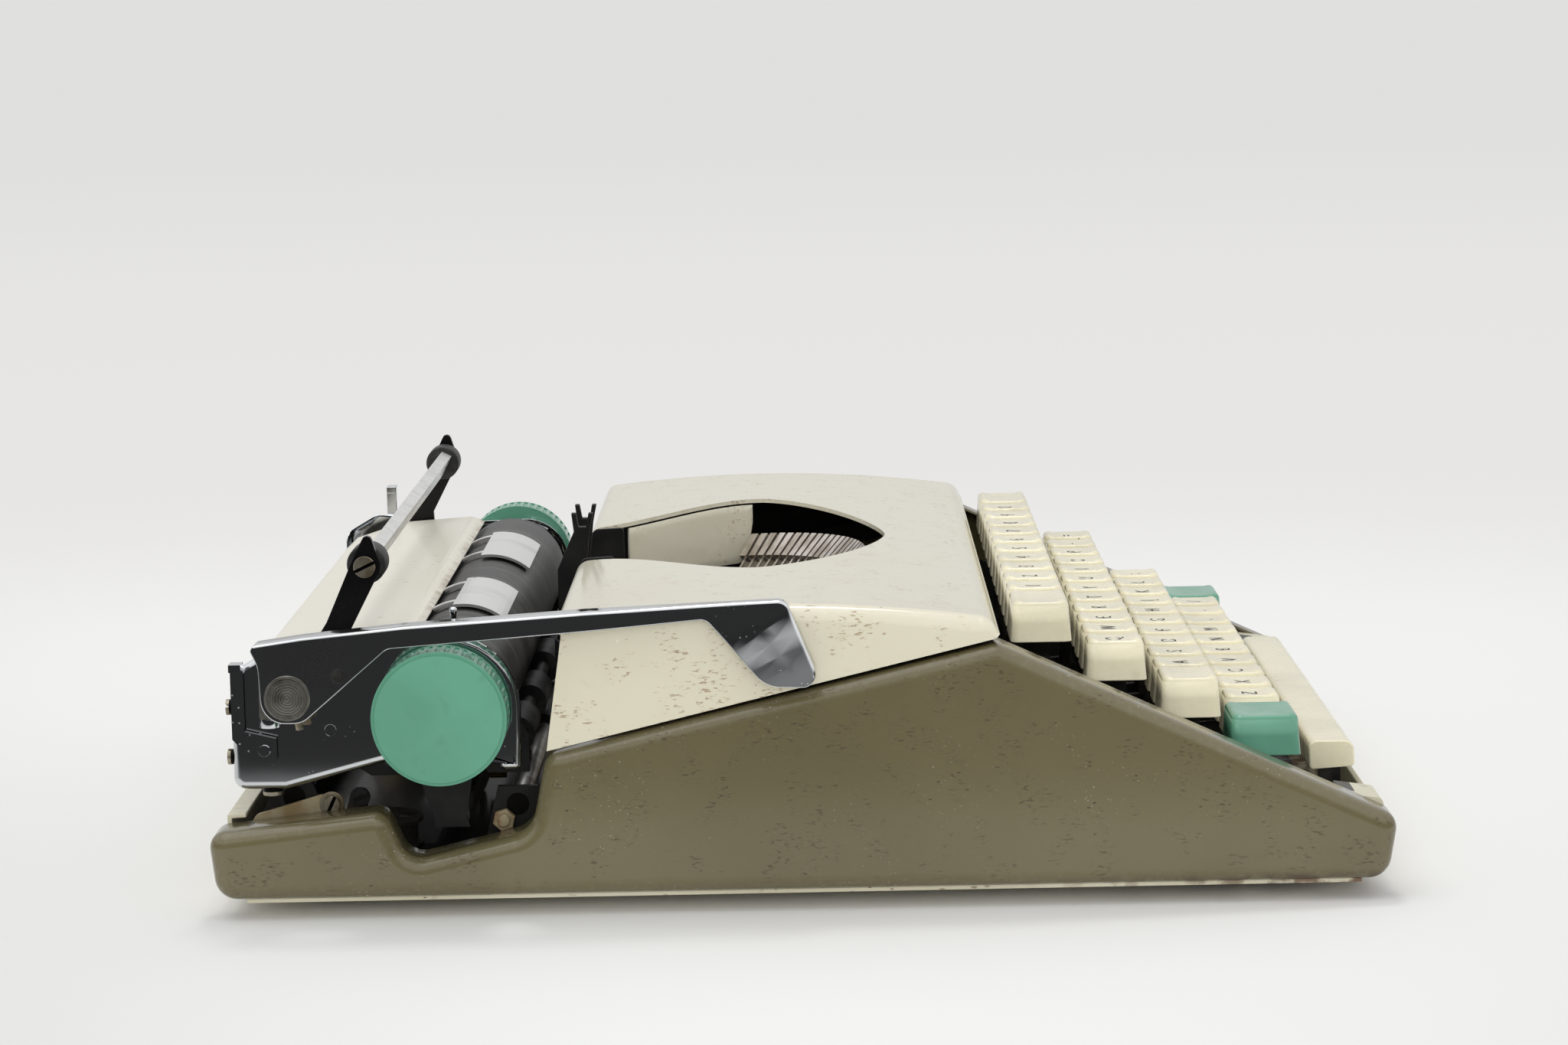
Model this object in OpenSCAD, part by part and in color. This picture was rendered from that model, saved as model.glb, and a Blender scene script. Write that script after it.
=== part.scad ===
// Portable typewriter with a shifting carriage, seen from the typist's seat.
// X points to the typist's right, Y to the rear, Z up. The table is at Z = 0.

/* [Body] */
// Width over the two side panels
body_w = 300; // [290:1:312]
// Depth over the two side panels
body_d = 310; // [304:1:318]
// Thickness of the pressed sheet
sheet = 1.2; // [0.8:0.1:1.6]
// Height of the panel's lower edge above the table
panel_z = 5.5; // [5:0.1:6.5]
// Height of the panel at its peak, behind the number row
panel_peak = 69.7; // [66:0.1:71]
// Width of the panel's turned-in rim
rim_w = 13; // [10:0.5:14]
// Rounding of the panel's outer edge
edge_r = 4; // [3:0.1:4.4]
// Radius of a rubber foot
foot_r = 9; // [6:0.5:12]

/* [Cover] */
// Step from the body's side to the cover's side
cover_inset = 3; // [3:0.5:8]
// Height of the cover's top above the table
cover_top = 79.5; // [78:0.5:84]
// Gap between the cover and the side panels
seam = 0.9; // [0.5:0.1:1.5]
// Half width of the cover's opening at its widest
opening_half = 76.5; // [70:0.5:79]
// Depth of the wall that hangs from the opening's edge
skirt_h = 18; // [10:1:20]

/* [Keyboard] */
// Pitch of the keys along a row
key_pitch = 19; // [18:0.1:19.2]
// Pitch of the rows, front to rear
row_pitch = 19.8; // [19:0.1:20.5]
// Height gained from one row to the next
row_rise = 10.6; // [9.5:0.1:11]
// Height of the bottom row's key tops
row_top = 44.5; // [43:0.1:46]
// Width of a key cap
cap_w = 14; // [11:0.1:15]
// Depth of a key cap
cap_d = 15; // [12:0.1:15.6]
// Height of a key cap
cap_h = 11; // [9:0.1:12]
// Thickness of a key lever
lever_t = 1.5; // [1:0.1:2]
// Length of the space bar
space_w = 184; // [150:1:190]

/* [Type basket] */
// Number of type bars
bar_count = 42; // [20:2:44]
// Half angle of the fan of type bars
fan_half = 50; // [40:1:52]
// Thickness of a type bar
bar_t = 0.9; // [0.7:0.05:1.1]
// Depth of the type bars' pivots under the line from rest to print
bar_drop = 42; // [40:0.5:43]

/* [Carriage] */
// Radius of the platen
platen_r = 16.5; // [15:0.1:17]
// Gap between the platen's end and the carriage plate
platen_gap = 5.5; // [4:0.5:12]
// Radius of the platen knobs
knob_r = 17.6; // [15:0.1:18]
// Thickness of a platen knob
knob_t = 13; // [10:0.5:14]
// Radius of the carriage rails
rail_r = 3; // [2:0.1:3.4]
// Radius of a feed roller
feed_r = 5; // [4:0.1:5.5]
// Radius of a rubber roller on the paper bail
bail_roller_r = 5.2; // [4:0.1:5.4]

/* [Fits] */
// Running clearance of a shaft in its hole, on the radius
run_gap = 0.06; // [0.03:0.01:0.1]
// Gap between parts that pass each other
pass_gap = 0.4; // [0.3:0.05:0.6]

/* [Hidden] */
$fn = 64;
half_w = body_w / 2;
half_d = body_d / 2;
panel_in = half_w - rim_w;
frame_room = 5;
frame_x = panel_in - frame_room;
frame_t = 2;
floor_z = panel_z - sheet - 0.1;

// Platen axis, carriage rails and key shaft
platen_y = 93.2;
platen_z = 53.9;
shaft_r = 4;
rail_rear = [134, 30];
rail_front = [75, 27];
key_axis = [60, 11];
key_shaft_r = 2.5;
hub_r = 4.5;
truck_half = 28;
truck_reach = frame_x - 2;
arm_x = frame_x + frame_t;
arm_t = 2;
plate_x = frame_x - 5;
plate_t = 2;
platen_len = 2 * (plate_x - platen_gap);
cheek_x = frame_x + 7.5;
cheek_t = 1.5;
knob_x = frame_x + 12;
cheek_r = 20;
cheek_low_r = 14;

// Rack and escapement
rack_y = 88;
rack_w = 5;
rack_z = 22.8;
rack_h = 5.2;
tooth_pitch = PI;
pinion_teeth = 12;
pinion_r = pinion_teeth * tooth_pitch / (2 * PI);
pinion_z = rack_z - 1.3 - pinion_r;
wheel_y = 94.6;
wheel_t = 1.4;
wheel_r = 9.2;

// Keyboard places
row_y = [for (r = [0:3]) -123.8 + (3 - r) * row_pitch];
row_z = [for (r = [0:3]) row_top + (3 - r) * row_rise];
row_first = key_pitch * [-4.5, -6, -4.75, -4.25];
row_keys = [10, 12, 10, 10];
end_x = 5.71 * key_pitch;
lock_x = -5.85 * key_pitch;
release_x = -5.45 * key_pitch;
right_x = 5.82 * key_pitch;
end_w = 23;
lock_w = 20.2;
shift_d = 17.8;
stem_w = 6;
strip_h = 4;
lever_front_z = 24;
space_y = -144.5;
space_d = 12;
space_h = 8;
space_top = 31.5;
space_arm_x = space_w / 2 - 3.84;
comb_y = -40;
comb_t = 1.6;
slot_w = lever_t + 0.7;

// Type basket places: print point, pivot arc and rest angle
tilt = 8;
print_ang = 30;
print_gap = 4.7;
slug_h = 9;
slug_w = 2.7;
slug_d = 3.2;
print_y = platen_y - (platen_r + print_gap) * cos(print_ang);
print_z = platen_z + (platen_r + print_gap) * sin(print_ang);
rest_y = -18;
rest_z = 70;
half_span = norm([print_y - rest_y, print_z - rest_z]) / 2;
span_ang = atan2(rest_z - print_z, print_y - rest_y);
pivot_y = (print_y + rest_y) / 2 - bar_drop * sin(span_ang);
pivot_z = (print_z + rest_z) / 2 - bar_drop * cos(span_ang);
bar_len = norm([half_span, bar_drop]);
rest_ang = atan2(rest_z - pivot_z, pivot_y - rest_y);
arc_r = (print_y - pivot_y) * cos(tilt) - (print_z - pivot_z) * sin(tilt);
arc_y = pivot_y + arc_r * cos(tilt);
arc_z = pivot_z - arc_r * sin(tilt);
fan_step = 2 * fan_half / (bar_count - 1);
live_bar = bar_count / 2;
arm_y = 50;
wire_r = 0.8;
slot_bar = bar_t + 0.4;

// Spring drum
drum = [37 - frame_x, 118];
drum_r = 14;
drum_z = 8.4;
drum_stud_r = 3;

// Ribbon
spool_x = frame_x - 22;
spool_y = 32;
spool_r = 17;
spool_z = 40;
ribbon_z = 41;
ribbon_h = 12.5;
ribbon_y = 71.3;
ribbon_t = 0.5;

// Paper bail, swung back as it stands
bail_axis = [122, 48];
bail_x = plate_x - 4.5;
bail_t = 2;
bail_at = [114.3, 89.8];

// Return lever and its bracket
boss = [132.1, 60.2];
boss_r = 5.95;
lever_out = frame_x + 25;
lever_in = lever_out - 8.4;
hinge_pin = [frame_x + 12, 138.5];
pin_r = 1.5;

// Points of a closed outline with rounded corners, moved inwards by inset.
// Each corner is [y, z, radius]; corners run anticlockwise.
function turn(a, b, c) = (b.x - a.x) * (c.y - b.y) - (b.y - a.y) * (c.x - b.x);
function unit(v) = v / norm(v);
function corner_points(a, b, c, inset, steps) =
    let (p = [b.x, b.y],
         u = unit([a.x, a.y] - p),
         v = unit([c.x, c.y] - p),
         half = acos(u * v) / 2,
         bend = turn(a, b, c) > 0 ? 1 : -1,
         centre = p + unit(u + v) * b.z / sin(half),
         radius = b.z - bend * inset,
         from = atan2(-bend * -u.x, -bend * u.y),
         sweep = (180 - 2 * half) * bend)
    [for (k = [0:steps]) let (g = from + sweep * k / steps) centre + radius * [cos(g), sin(g)]];
corner_steps = 5;
function outline(corners, inset = 0, steps = corner_steps) =
    let (n = len(corners))
    [for (i = [0:n - 1])
        each corner_points(corners[(i + n - 1) % n], corners[i], corners[(i + 1) % n], inset, steps)];
function arc(centre, radius, a0, a1, steps = 16) =
    [for (k = [0:steps]) let (a = a0 + (a1 - a0) * k / steps) centre + radius * [cos(a), sin(a)]];

// Extrudes a Y-Z outline along X
module along_x(x0, x1) {
    translate([x0, 0, 0]) rotate([90, 0, 90]) linear_extrude(x1 - x0) children();
}
module rod_x(at, r, x0, x1) {
    translate([x0, at.x, at.y]) rotate([0, 90, 0]) cylinder(r = r, h = x1 - x0);
}
module rod_y(x, z, r, y0, y1) {
    translate([x, y0, z]) rotate([-90, 0, 0]) cylinder(r = r, h = y1 - y0);
}
module block(x0, x1, y0, y1, z0, z1) {
    translate([x0, y0, z0]) cube([x1 - x0, y1 - y0, z1 - z0]);
}
module both_sides() {
    children();
    mirror([1, 0, 0]) children();
}

// Side panel: a shallow pressed tray with a rounded edge and a turned-in rim
panel_rear = [66.4, 42.6];
panel_front = -51.4;
panel_corners = [
    [-half_d + 2.2, panel_z, 6],
    [half_d - 1.6, panel_z, 6],
    [half_d + 0.46, 23.4, 4.6],
    [108.9, 28.4, 4.6],
    [103, 14.8, 6],
    [70.6, 22.4, 8],
    [panel_rear.x, panel_rear.y, 4.6],
    [panel_front, panel_peak, 5],
    [-half_d - 0.6, 21.6, 5]];

// Triangles that fill the panel's outline: two fans from the ends of its lower edge,
// which meet at the lowest point of the notch
function panel_tris(n) =
    let (front = corner_steps, rear = front + 1, low = 4 * (corner_steps + 1) + 4)
    concat(
        [for (i = [rear + 1:low - 1]) [rear, i, i + 1]],
        [[front, rear, low]],
        [for (i = [low:n + front - 2]) [front, i % n, (i + 1) % n]]);

module side_panel() {
    steps = 4;
    inner_r = edge_r - sheet;
    rings = concat(
        [[panel_in, 0]],
        [for (k = [0:steps]) let (a = 90 * k / steps)
            [half_w - edge_r + edge_r * sin(a), edge_r * (1 - cos(a))]],
        [for (k = [steps:-1:0]) let (a = 90 * k / steps)
            [half_w - edge_r + inner_r * sin(a), edge_r - inner_r * cos(a)]],
        [[panel_in, sheet]]);
    loops = [for (g = rings) [for (p = outline(panel_corners, g.y)) [-g.x, p.x, p.y]]];
    n = len(loops[0]);
    m = len(loops);
    last_out = steps + 1;
    walls = [for (j = [0:m - 1]) if (j != last_out) for (i = [0:n - 1])
        let (a = j * n + i, b = j * n + (i + 1) % n, up = ((j + 1) % m) * n)
        [a, b, up + (i + 1) % n, up + i]];
    face = [for (t = panel_tris(n)) [for (i = t) last_out * n + i]];
    back = [for (t = panel_tris(n)) [for (k = [2:-1:0]) (last_out + 1) * n + t[k]]];
    polyhedron(points = [for (l = loops) each l], faces = concat(walls, face, back), convexity = 8);
}
module side_panel_left() {
    color("#6f6852") side_panel();
}
module side_panel_right() {
    color("#6f6852") mirror([1, 0, 0]) side_panel();
}

// Floor pan with its front and rear walls
pan_half = panel_in - 0.5;
pan_front = -half_d + 2.6;
pan_rear = half_d - 3.4;
module body_pan() {
    color("#dcd7c0") {
        block(-half_w + 4, half_w - 4, -half_d + 9, half_d - 9, floor_z, floor_z + sheet);
        along_x(-pan_half, pan_half) polygon([
            [pan_front + 2, floor_z], [pan_rear - 2, floor_z],
            [pan_rear, floor_z + 2], [pan_rear, 26], [pan_rear - 5, 26.4],
            [pan_rear - 5, 26.4 - sheet], [pan_rear - sheet, 25], [pan_rear - sheet, floor_z + sheet],
            [pan_front + sheet, floor_z + sheet], [pan_front + sheet - 0.9, 19.5],
            [pan_front - 0.9, 20.2], [pan_front, floor_z + 2]]);
    }
}

// Four rubber feet under the pan
module rubber_feet() {
    color("#2b2a28")
    for (x = [-1, 1], y = [-1, 1])
        translate([x * (half_w - 32), y * (half_d - 30), 0]) difference() {
            cylinder(r = foot_r, h = floor_z);
            translate([0, 0, -1]) cylinder(r = foot_r * 0.4, h = 2.2);
        }
}

// Inner frame: two side plates, cross bars, ribbon shelves and spindles
frame_outline = [
    [-135, panel_z + 0.3], [146, panel_z + 0.3], [146, 18], [138.6, 34.4], [129.4, 34.4],
    [122, 15], [107, 12], [85, 12], [80.2, 31.8], [69.8, 31.8], [65, 35],
    [-44, panel_peak - 11], [-135, 18]];
bar_z = floor_z + sheet + 0.1;
module main_frame() {
    color("#4a4a48") difference() {
        union() {
            both_sides() {
                along_x(frame_x, frame_x + frame_t) polygon(frame_outline);
                block(spool_x - 20, frame_x + 0.5, 12, 53, spool_z - 3.2, spool_z - 2);
                translate([spool_x, spool_y, spool_z - 2.6]) cylinder(r = 2.6, h = ribbon_h + 8);
                block(38, frame_x + 0.5, arm_y, arm_y + 6, 17.5, 24.5);
                block(frame_x - 14, frame_x + 0.5, -130, -110, panel_z + 0.3, panel_z + 2);
            }
            block(-frame_x - 0.5, frame_x + 0.5, 66.3, 69.2, bar_z + 0.3, 17);
            block(-frame_x - 0.5, frame_x + 0.5, 98, 99.6, bar_z + 0.3, 11);
            block(-9, 9, 98, 99.6, 10, 23);
            block(-frame_x - 0.5, frame_x + 0.5, 141, 143, bar_z + 0.3, 18);
            block(drum.x - 6, drum.x + 6, 98.5, drum.y + 6, bar_z + 0.3, drum_z - 0.8);
            translate([drum.x, drum.y, drum_z - 2]) cylinder(r = drum_stud_r, h = 11);
            block(-frame_x - 0.5, frame_x + 0.5, -131, -125, bar_z + 0.3, bar_z + 1.5);
        }
        rod_x(rail_rear, rail_r, -200, 200);
        rod_x(rail_front, rail_r, -200, 200);
        rod_x(key_axis, key_shaft_r, -200, 200);
        rod_y(0, pinion_z, 2 + run_gap, 90, 110);
    }
}

// Ground rods: the two carriage rails and the key lever shaft
module ground_rods() {
    color("#b9bbbb") {
        rod_x(rail_rear, rail_r, -frame_x - frame_t, frame_x + frame_t);
        rod_x(rail_front, rail_r, -frame_x - frame_t, frame_x + frame_t);
        rod_x(key_axis, key_shaft_r, -frame_x - frame_t, frame_x + frame_t);
    }
}

// Every lever's place across the machine
function row_x(r) = [for (i = [0:row_keys[r] - 1]) row_first[r] + i * key_pitch];
lever_places = concat(row_x(0), row_x(1), row_x(2), row_x(3),
    [-end_x, end_x, lock_x, release_x, right_x + 2, -space_arm_x, space_arm_x]);

// Comb that keeps the key levers upright
module key_comb() {
    color("#55544f") difference() {
        block(-frame_x + 0.1, frame_x - 0.1, comb_y - comb_t / 2, comb_y + comb_t / 2, bar_z + 0.3, 33);
        for (x = lever_places)
            block(x - slot_w / 2, x + slot_w / 2, comb_y - 5, comb_y + 5, 7.4, 40);
    }
}

// Key lever: hub on the key shaft, strip to the front, upright stem
module key_lever(x, y, top) {
    front = y - stem_w / 2;
    translate([x - lever_t / 2, 0, 0]) difference() {
        union() {
            along_x(0, lever_t) polygon([
                [key_axis.x, key_axis.y - strip_h / 2], [key_axis.x, key_axis.y + strip_h / 2],
                [y + stem_w / 2, lever_front_z + strip_h / 2], [y + stem_w / 2, top],
                [front, top], [front, lever_front_z - strip_h / 2]]);
            rod_x(key_axis, hub_r, 0, lever_t);
        }
        rod_x(key_axis, key_shaft_r + run_gap, -1, lever_t + 1);
    }
}

// Key cap: tapered block with a dished top and a slot for its stem
module key_cap(x, y, top, w, d, stem_x) {
    bottom = top - cap_h;
    difference() {
        intersection() {
            along_x(x - w, x + w) polygon([
                [y - d / 2 - 0.6, bottom], [y + d / 2 + 0.6, bottom], [y + d / 2, top - 2],
                [y + d / 2 - 1.2, top], [y - d / 2 + 1.2, top], [y - d / 2, top - 2]]);
            translate([0, y + d, 0]) rotate([90, 0, 0]) linear_extrude(2 * d) polygon([
                [x - w / 2 - 0.6, bottom], [x + w / 2 + 0.6, bottom], [x + w / 2, top - 2],
                [x + w / 2 - 1.2, top], [x - w / 2 + 1.2, top], [x - w / 2, top - 2]]);
        }
        translate([x, y, top + 26.6]) sphere(r = 28);
        block(stem_x - lever_t / 2 - 0.05, stem_x + lever_t / 2 + 0.05,
            y - stem_w / 2 - 0.05, y + stem_w / 2 + 0.05, bottom - 1, bottom + 4.05);
    }
}
module key(x, r, w = cap_w, d = cap_d, lever_shift = 0) {
    key_cap(x, row_y[r], row_z[r], w, d, x + lever_shift);
    key_lever(x + lever_shift, row_y[r], row_z[r] - cap_h + 4);
}
module key_row(r) {
    for (x = row_x(r)) key(x, r);
}
module number_row() {
    color("#e6e1cc") key_row(0);
}
module upper_row() {
    color("#e6e1cc") key_row(1);
}
module lower_row() {
    color("#e6e1cc") key_row(3);
}
module home_key(i) {
    color("#e6e1cc") key(row_x(2)[i], 2);
}
module home_key_01() { home_key(0); }
module home_key_02() { home_key(1); }
module home_key_03() { home_key(2); }
module home_key_04() { home_key(3); }
module home_key_05() { home_key(4); }
module home_key_06() { home_key(5); }
module home_key_07() { home_key(6); }
module home_key_08() { home_key(7); }
module home_key_09() { home_key(8); }
module home_key_10() { home_key(9); }
module shift_key_left() {
    color("#5f8f86") key(-end_x, 3, end_w, shift_d);
}
module shift_key_right() {
    color("#5f8f86") key(right_x, 3, end_w - 1, shift_d, lever_shift = 2);
}
module shift_lock_key() {
    color("#e6e1cc") key(-end_x - 1.3, 2, lock_w, lever_shift = lock_x + end_x + 1.3);
}
module margin_release_key() {
    color("#e6e1cc") key(-end_x, 0, end_w, lever_shift = release_x + end_x);
}
module backspace_key() {
    color("#e6e1cc") key(end_x, 0, end_w);
}

// Space bar on two arms from the key shaft
module space_bar() {
    color("#e6e1cc") {
        difference() {
            along_x(-space_w / 2, space_w / 2) polygon([
                [space_y - space_d / 2 + 0.6, space_top - space_h],
                [space_y + space_d / 2, space_top - space_h + 1],
                [space_y + space_d / 2, space_top - 2.4],
                each arc([space_y + space_d / 2 - 2.4, space_top - 2.4], 2.4, 0, 90, 5),
                each arc([space_y - space_d / 2 + 4, space_top - 4.6], 4, 90, 180, 5)]);
            for (x = [-space_arm_x, space_arm_x])
                block(x - lever_t / 2 - 0.05, x + lever_t / 2 + 0.05, space_y - stem_w / 2 - 0.05,
                    space_y + stem_w / 2 + 0.05, 0, space_top - space_h + 4.05);
        }
        for (x = [-space_arm_x, space_arm_x]) translate([x - lever_t / 2, 0, 0]) difference() {
            union() {
                along_x(0, lever_t) polygon([
                    [key_axis.x, key_axis.y - strip_h / 2], [key_axis.x, key_axis.y + strip_h / 2],
                    [space_y + stem_w / 2, 20], [space_y + stem_w / 2, space_top - space_h + 4],
                    [space_y - stem_w / 2, space_top - space_h + 4], [space_y - stem_w / 2, 16]]);
                rod_x(key_axis, hub_r, 0, lever_t);
            }
            rod_x(key_axis, key_shaft_r + run_gap, -1, lever_t + 1);
        }
    }
}

// Places a piece of the fan: X radial, Z along the tilted axis, angle a from the middle
module fan(a) {
    translate([0, arc_y, arc_z]) rotate([-tilt, 0, 0]) rotate([0, 0, -90 + a]) children();
}

// Slotted segment with its pivot wire
module type_segment() {
    ends = fan_half + 5;
    end_at = [arc_r * sin(ends), arc_y - arc_r * cos(ends) * cos(tilt)];
    color("#8b8c8a") difference() {
        union() {
            translate([0, arc_y, arc_z]) rotate([-tilt, 0, 0]) rotate([0, 0, -90 - ends])
                rotate_extrude(angle = 2 * ends) polygon([
                    [arc_r - 7, -4], [arc_r + 4, -4], [arc_r + 4, 2.4], [arc_r - 2.6, 2.4],
                    [arc_r - 2.6, -2], [arc_r - 7, -2.4]]);
            both_sides() block(end_at.x - 4.2, 44, end_at.y + 0.4, arm_y, 18.6, 24);
        }
        for (i = [0:bar_count - 1]) fan(-fan_half + i * fan_step)
            block(arc_r - 3.4, arc_r + 8, -slot_bar / 2, slot_bar / 2, -2.2, 6);
    }
    color("#8b8c8a") translate([0, arc_y, arc_z]) rotate([-tilt, 0, 0]) rotate([0, 0, -90 - ends])
        rotate_extrude(angle = 2 * ends) translate([arc_r, 0]) circle(r = wire_r);
}

// Type bar lying at rest, drawn from its pivot outwards, with its type slug
module type_bar() {
    lift = rest_ang - tilt;
    rotate([90, 0, 0]) rotate([0, 0, lift]) {
        difference() {
            translate([0, 0, -bar_t / 2]) linear_extrude(bar_t) polygon([
                each arc([0, 0], 2, 110, 250, 8),
                [bar_len * 0.35, -1.7], [bar_len - 7, -1.3], [bar_len - 1, -1.3],
                [bar_len - 1, 1.3], [bar_len - 7, 1.3], [bar_len * 0.35, 1.9]]);
            translate([0, 0, -5]) cylinder(r = wire_r + run_gap, h = 10);
        }
        difference() {
            translate([bar_len - slug_h / 2, -0.6, -slug_w / 2]) cube([slug_h, slug_d, slug_w]);
            translate([bar_len - slug_h, -1.3, -bar_t / 2]) cube([slug_h - 1, 2.6, bar_t]);
        }
    }
}
module typebars() {
    color("#9a9a96")
    for (i = [0:bar_count - 1]) if (i != live_bar)
        fan(-fan_half + i * fan_step) translate([arc_r, 0, 0]) type_bar();
}
module striking_typebar() {
    color("#9a9a96") fan(-fan_half + live_bar * fan_step) translate([arc_r, 0, 0]) type_bar();
}

// Guide that steers a type bar to the print point
module type_guide() {
    color("#3b3b3a") {
        both_sides() along_x(2.4, 6.5) polygon([
            [66.4, 17], [69.2, 17], [69.2, 44], [71, 49], [71, 55], [68.6, 55], [66.4, 50]]);
        block(-6.5, 6.5, 66.4, 69.2, 17.05, 22);
    }
}

// Forked ribbon vibrator that lifts the ribbon to the print line
module ribbon_vibrator() {
    color("#1d1d1e") {
        both_sides() along_x(8.6, 11.4) polygon([
            [62.4, 27], [65.6, 27], [65.6, 50], [70.6, 57], [70.6, 72], [65.6, 83], [66.2, 88.4],
            [64.9, 88.4], [64.2, 84.4], [61.9, 84.4], [61.2, 88.4], [59.9, 88.4], [61, 83], [62.4, 70]]);
        block(-11.4, 11.4, 62.4, 65.6, 27, 31);
    }
}

// Ribbon spools and the ribbon between them
module ribbon_spool() {
    difference() {
        union() {
            cylinder(r = spool_r, h = 1);
            translate([0, 0, ribbon_h + 1]) cylinder(r = spool_r, h = 1);
            cylinder(r = spool_r - 4, h = ribbon_h + 1.5);
        }
        translate([0, 0, -1]) cylinder(r = 2.6 + run_gap, h = ribbon_h + 8);
        for (a = [0:120:240]) rotate(a) translate([8.5, 0, ribbon_h]) cylinder(r = 2.6, h = 5);
    }
}
module ribbon_spool_left() {
    color("#77746b") translate([-spool_x, spool_y, spool_z - 1]) ribbon_spool();
}
module ribbon_spool_right() {
    color("#77746b") translate([spool_x, spool_y, spool_z - 1]) ribbon_spool();
}
module ribbon() {
    far = [spool_x + 2, spool_y + spool_r - 3.6];
    color("#222224") translate([0, 0, ribbon_z]) linear_extrude(ribbon_h - 1.4) polygon([
        [-far.x, far.y], [-14, ribbon_y], [14, ribbon_y], [far.x, far.y],
        [far.x, far.y + ribbon_t], [14, ribbon_y + ribbon_t],
        [-14, ribbon_y + ribbon_t], [-far.x, far.y + ribbon_t]]);
}

// Ribbon cover: a rounded lid, open to the rear, with the basket's opening
cover_half = half_w - cover_inset;
cover_r = 4;
cover_rear = [panel_rear.x - 0.3, panel_rear.y + seam];
cover_front = [panel_front - 0.1, panel_peak + seam + 0.3];
// The top is crowned from front to rear; the opening is widest under the crown
crown_y = 12;
crown_r = 420;
crown_at = [62.2, 50, 36, 24, 12, 0, -12, -24, -36, -47];
nose_r = 4.3;
opening_front = 37;
opening_neck = 36;
neck_run = 50;
function crown(y) = cover_top - pow(y - crown_y, 2) / (2 * crown_r);
function opening_x(y) = y < crown_y
    ? opening_half * pow(max(0, 1 - pow((crown_y - y) / opening_front, 1.5)), 1 / 1.5)
    : opening_half - (opening_half - opening_neck) * (1 - cos(180 * min(1, (y - crown_y) / neck_run))) / 2;
module cover_shape(t) {
    nose = [-46.4, crown(-47) - nose_r];
    intersection() {
        along_x(-cover_half + t, cover_half - t) polygon(t == 0
            ? [cover_rear, for (y = crown_at) [y, crown(y)],
               each arc(nose, nose_r, 98, 172, 8), cover_front]
            : [[90, 20], [90, crown(90) - t], for (y = crown_at) [y, crown(y) - t],
               each arc(nose, nose_r - t, 98, 172, 8), cover_front + [t, -1],
               [cover_front.x + t, 20]]);
        translate([0, 120, 0]) rotate([90, 0, 0]) linear_extrude(240) polygon([
            [-cover_half + t, 0], [cover_half - t, 0],
            each arc([cover_half - cover_r, cover_top - cover_r], cover_r - t, 0, 90, 8),
            each arc([-cover_half + cover_r, cover_top - cover_r], cover_r - t, 90, 180, 8)]);
    }
}
module ribbon_cover() {
    steps = 24;
    tip = crown_y - opening_front;
    edge = [for (k = [0:steps]) let (y = tip + 95 * pow(k / steps, 1.2)) [opening_x(y), y]];
    skirt = [for (k = [0:10]) let (y = 15 + 3.7 * k) [opening_x(y), y]];
    color("#ddd9c6") {
        difference() {
            cover_shape(0);
            cover_shape(sheet);
            translate([0, 0, 50]) linear_extrude(60) polygon(concat(
                edge, [for (k = [steps:-1:1]) [-edge[k].x, edge[k].y]]));
        }
        intersection() {
            cover_shape(0);
            both_sides() translate([0, 0, cover_top - 2 - skirt_h]) linear_extrude(skirt_h + 2)
                polygon(concat(skirt, [for (k = [10:-1:0]) skirt[k] + [sheet, 0]]));
        }
    }
}

// Truck: bed on the rails, lift posts and the two end arms
post = [20, 121];
module carriage_truck() {
    color("#3f3f3e") difference() {
        union() {
            block(-truck_half, truck_half, rail_front.x, rail_rear.x, 29.4, 32.4);
            rod_x(rail_rear, rail_r + 2.4, -truck_half, truck_half);
            rod_x(rail_front, rail_r + 2.4, -truck_half, truck_half);
            both_sides() {
                translate([post.x, post.y, 31]) cylinder(r = 3, h = 16);
                block(truck_half - 12, truck_half, rack_y, rack_y + rack_w, rack_z + rack_h, 30);
            }
        }
        rod_x(rail_rear, rail_r + run_gap, -200, 200);
        rod_x(rail_front, rail_r + run_gap, -200, 200);
    }
    color("#3f3f3e") both_sides() difference() {
        along_x(arm_x, arm_x + arm_t) polygon([
            [87.6, 21.5], [96.4, 21.5], [97, 24], [100, 33], [101.5, 66], [85, 66], [87, 33], [88.4, 24]]);
        hull_slot(shaft_r + 0.4, 6.6);
    }
}
// Upright slot for the platen shaft
module hull_slot(r, rise) {
    rod_x([platen_y, platen_z], r, -200, 200);
    rod_x([platen_y, platen_z + rise], r, -200, 200);
    block(-200, 200, platen_y - r, platen_y + r, platen_z, platen_z + rise);
}

// Toothed rack that the escapement holds
module carriage_rack() {
    teeth = floor(115 / tooth_pitch);
    color("#8f8d86") {
        block(-truck_reach, truck_reach, rack_y, rack_y + rack_w, rack_z, rack_z + rack_h);
        both_sides() block(truck_reach - 1, arm_x, rack_y, rack_y + rack_w, rack_z, rack_z + rack_h);
        translate([0, rack_y + rack_w, 0]) rotate([90, 0, 0]) linear_extrude(rack_w)
            for (i = [-teeth:teeth]) translate([(i + 0.5) * tooth_pitch, 0])
                polygon([[-0.75, rack_z + 0.1], [0.75, rack_z + 0.1], [0.28, rack_z - 2.2], [-0.28, rack_z - 2.2]]);
    }
}

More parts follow.
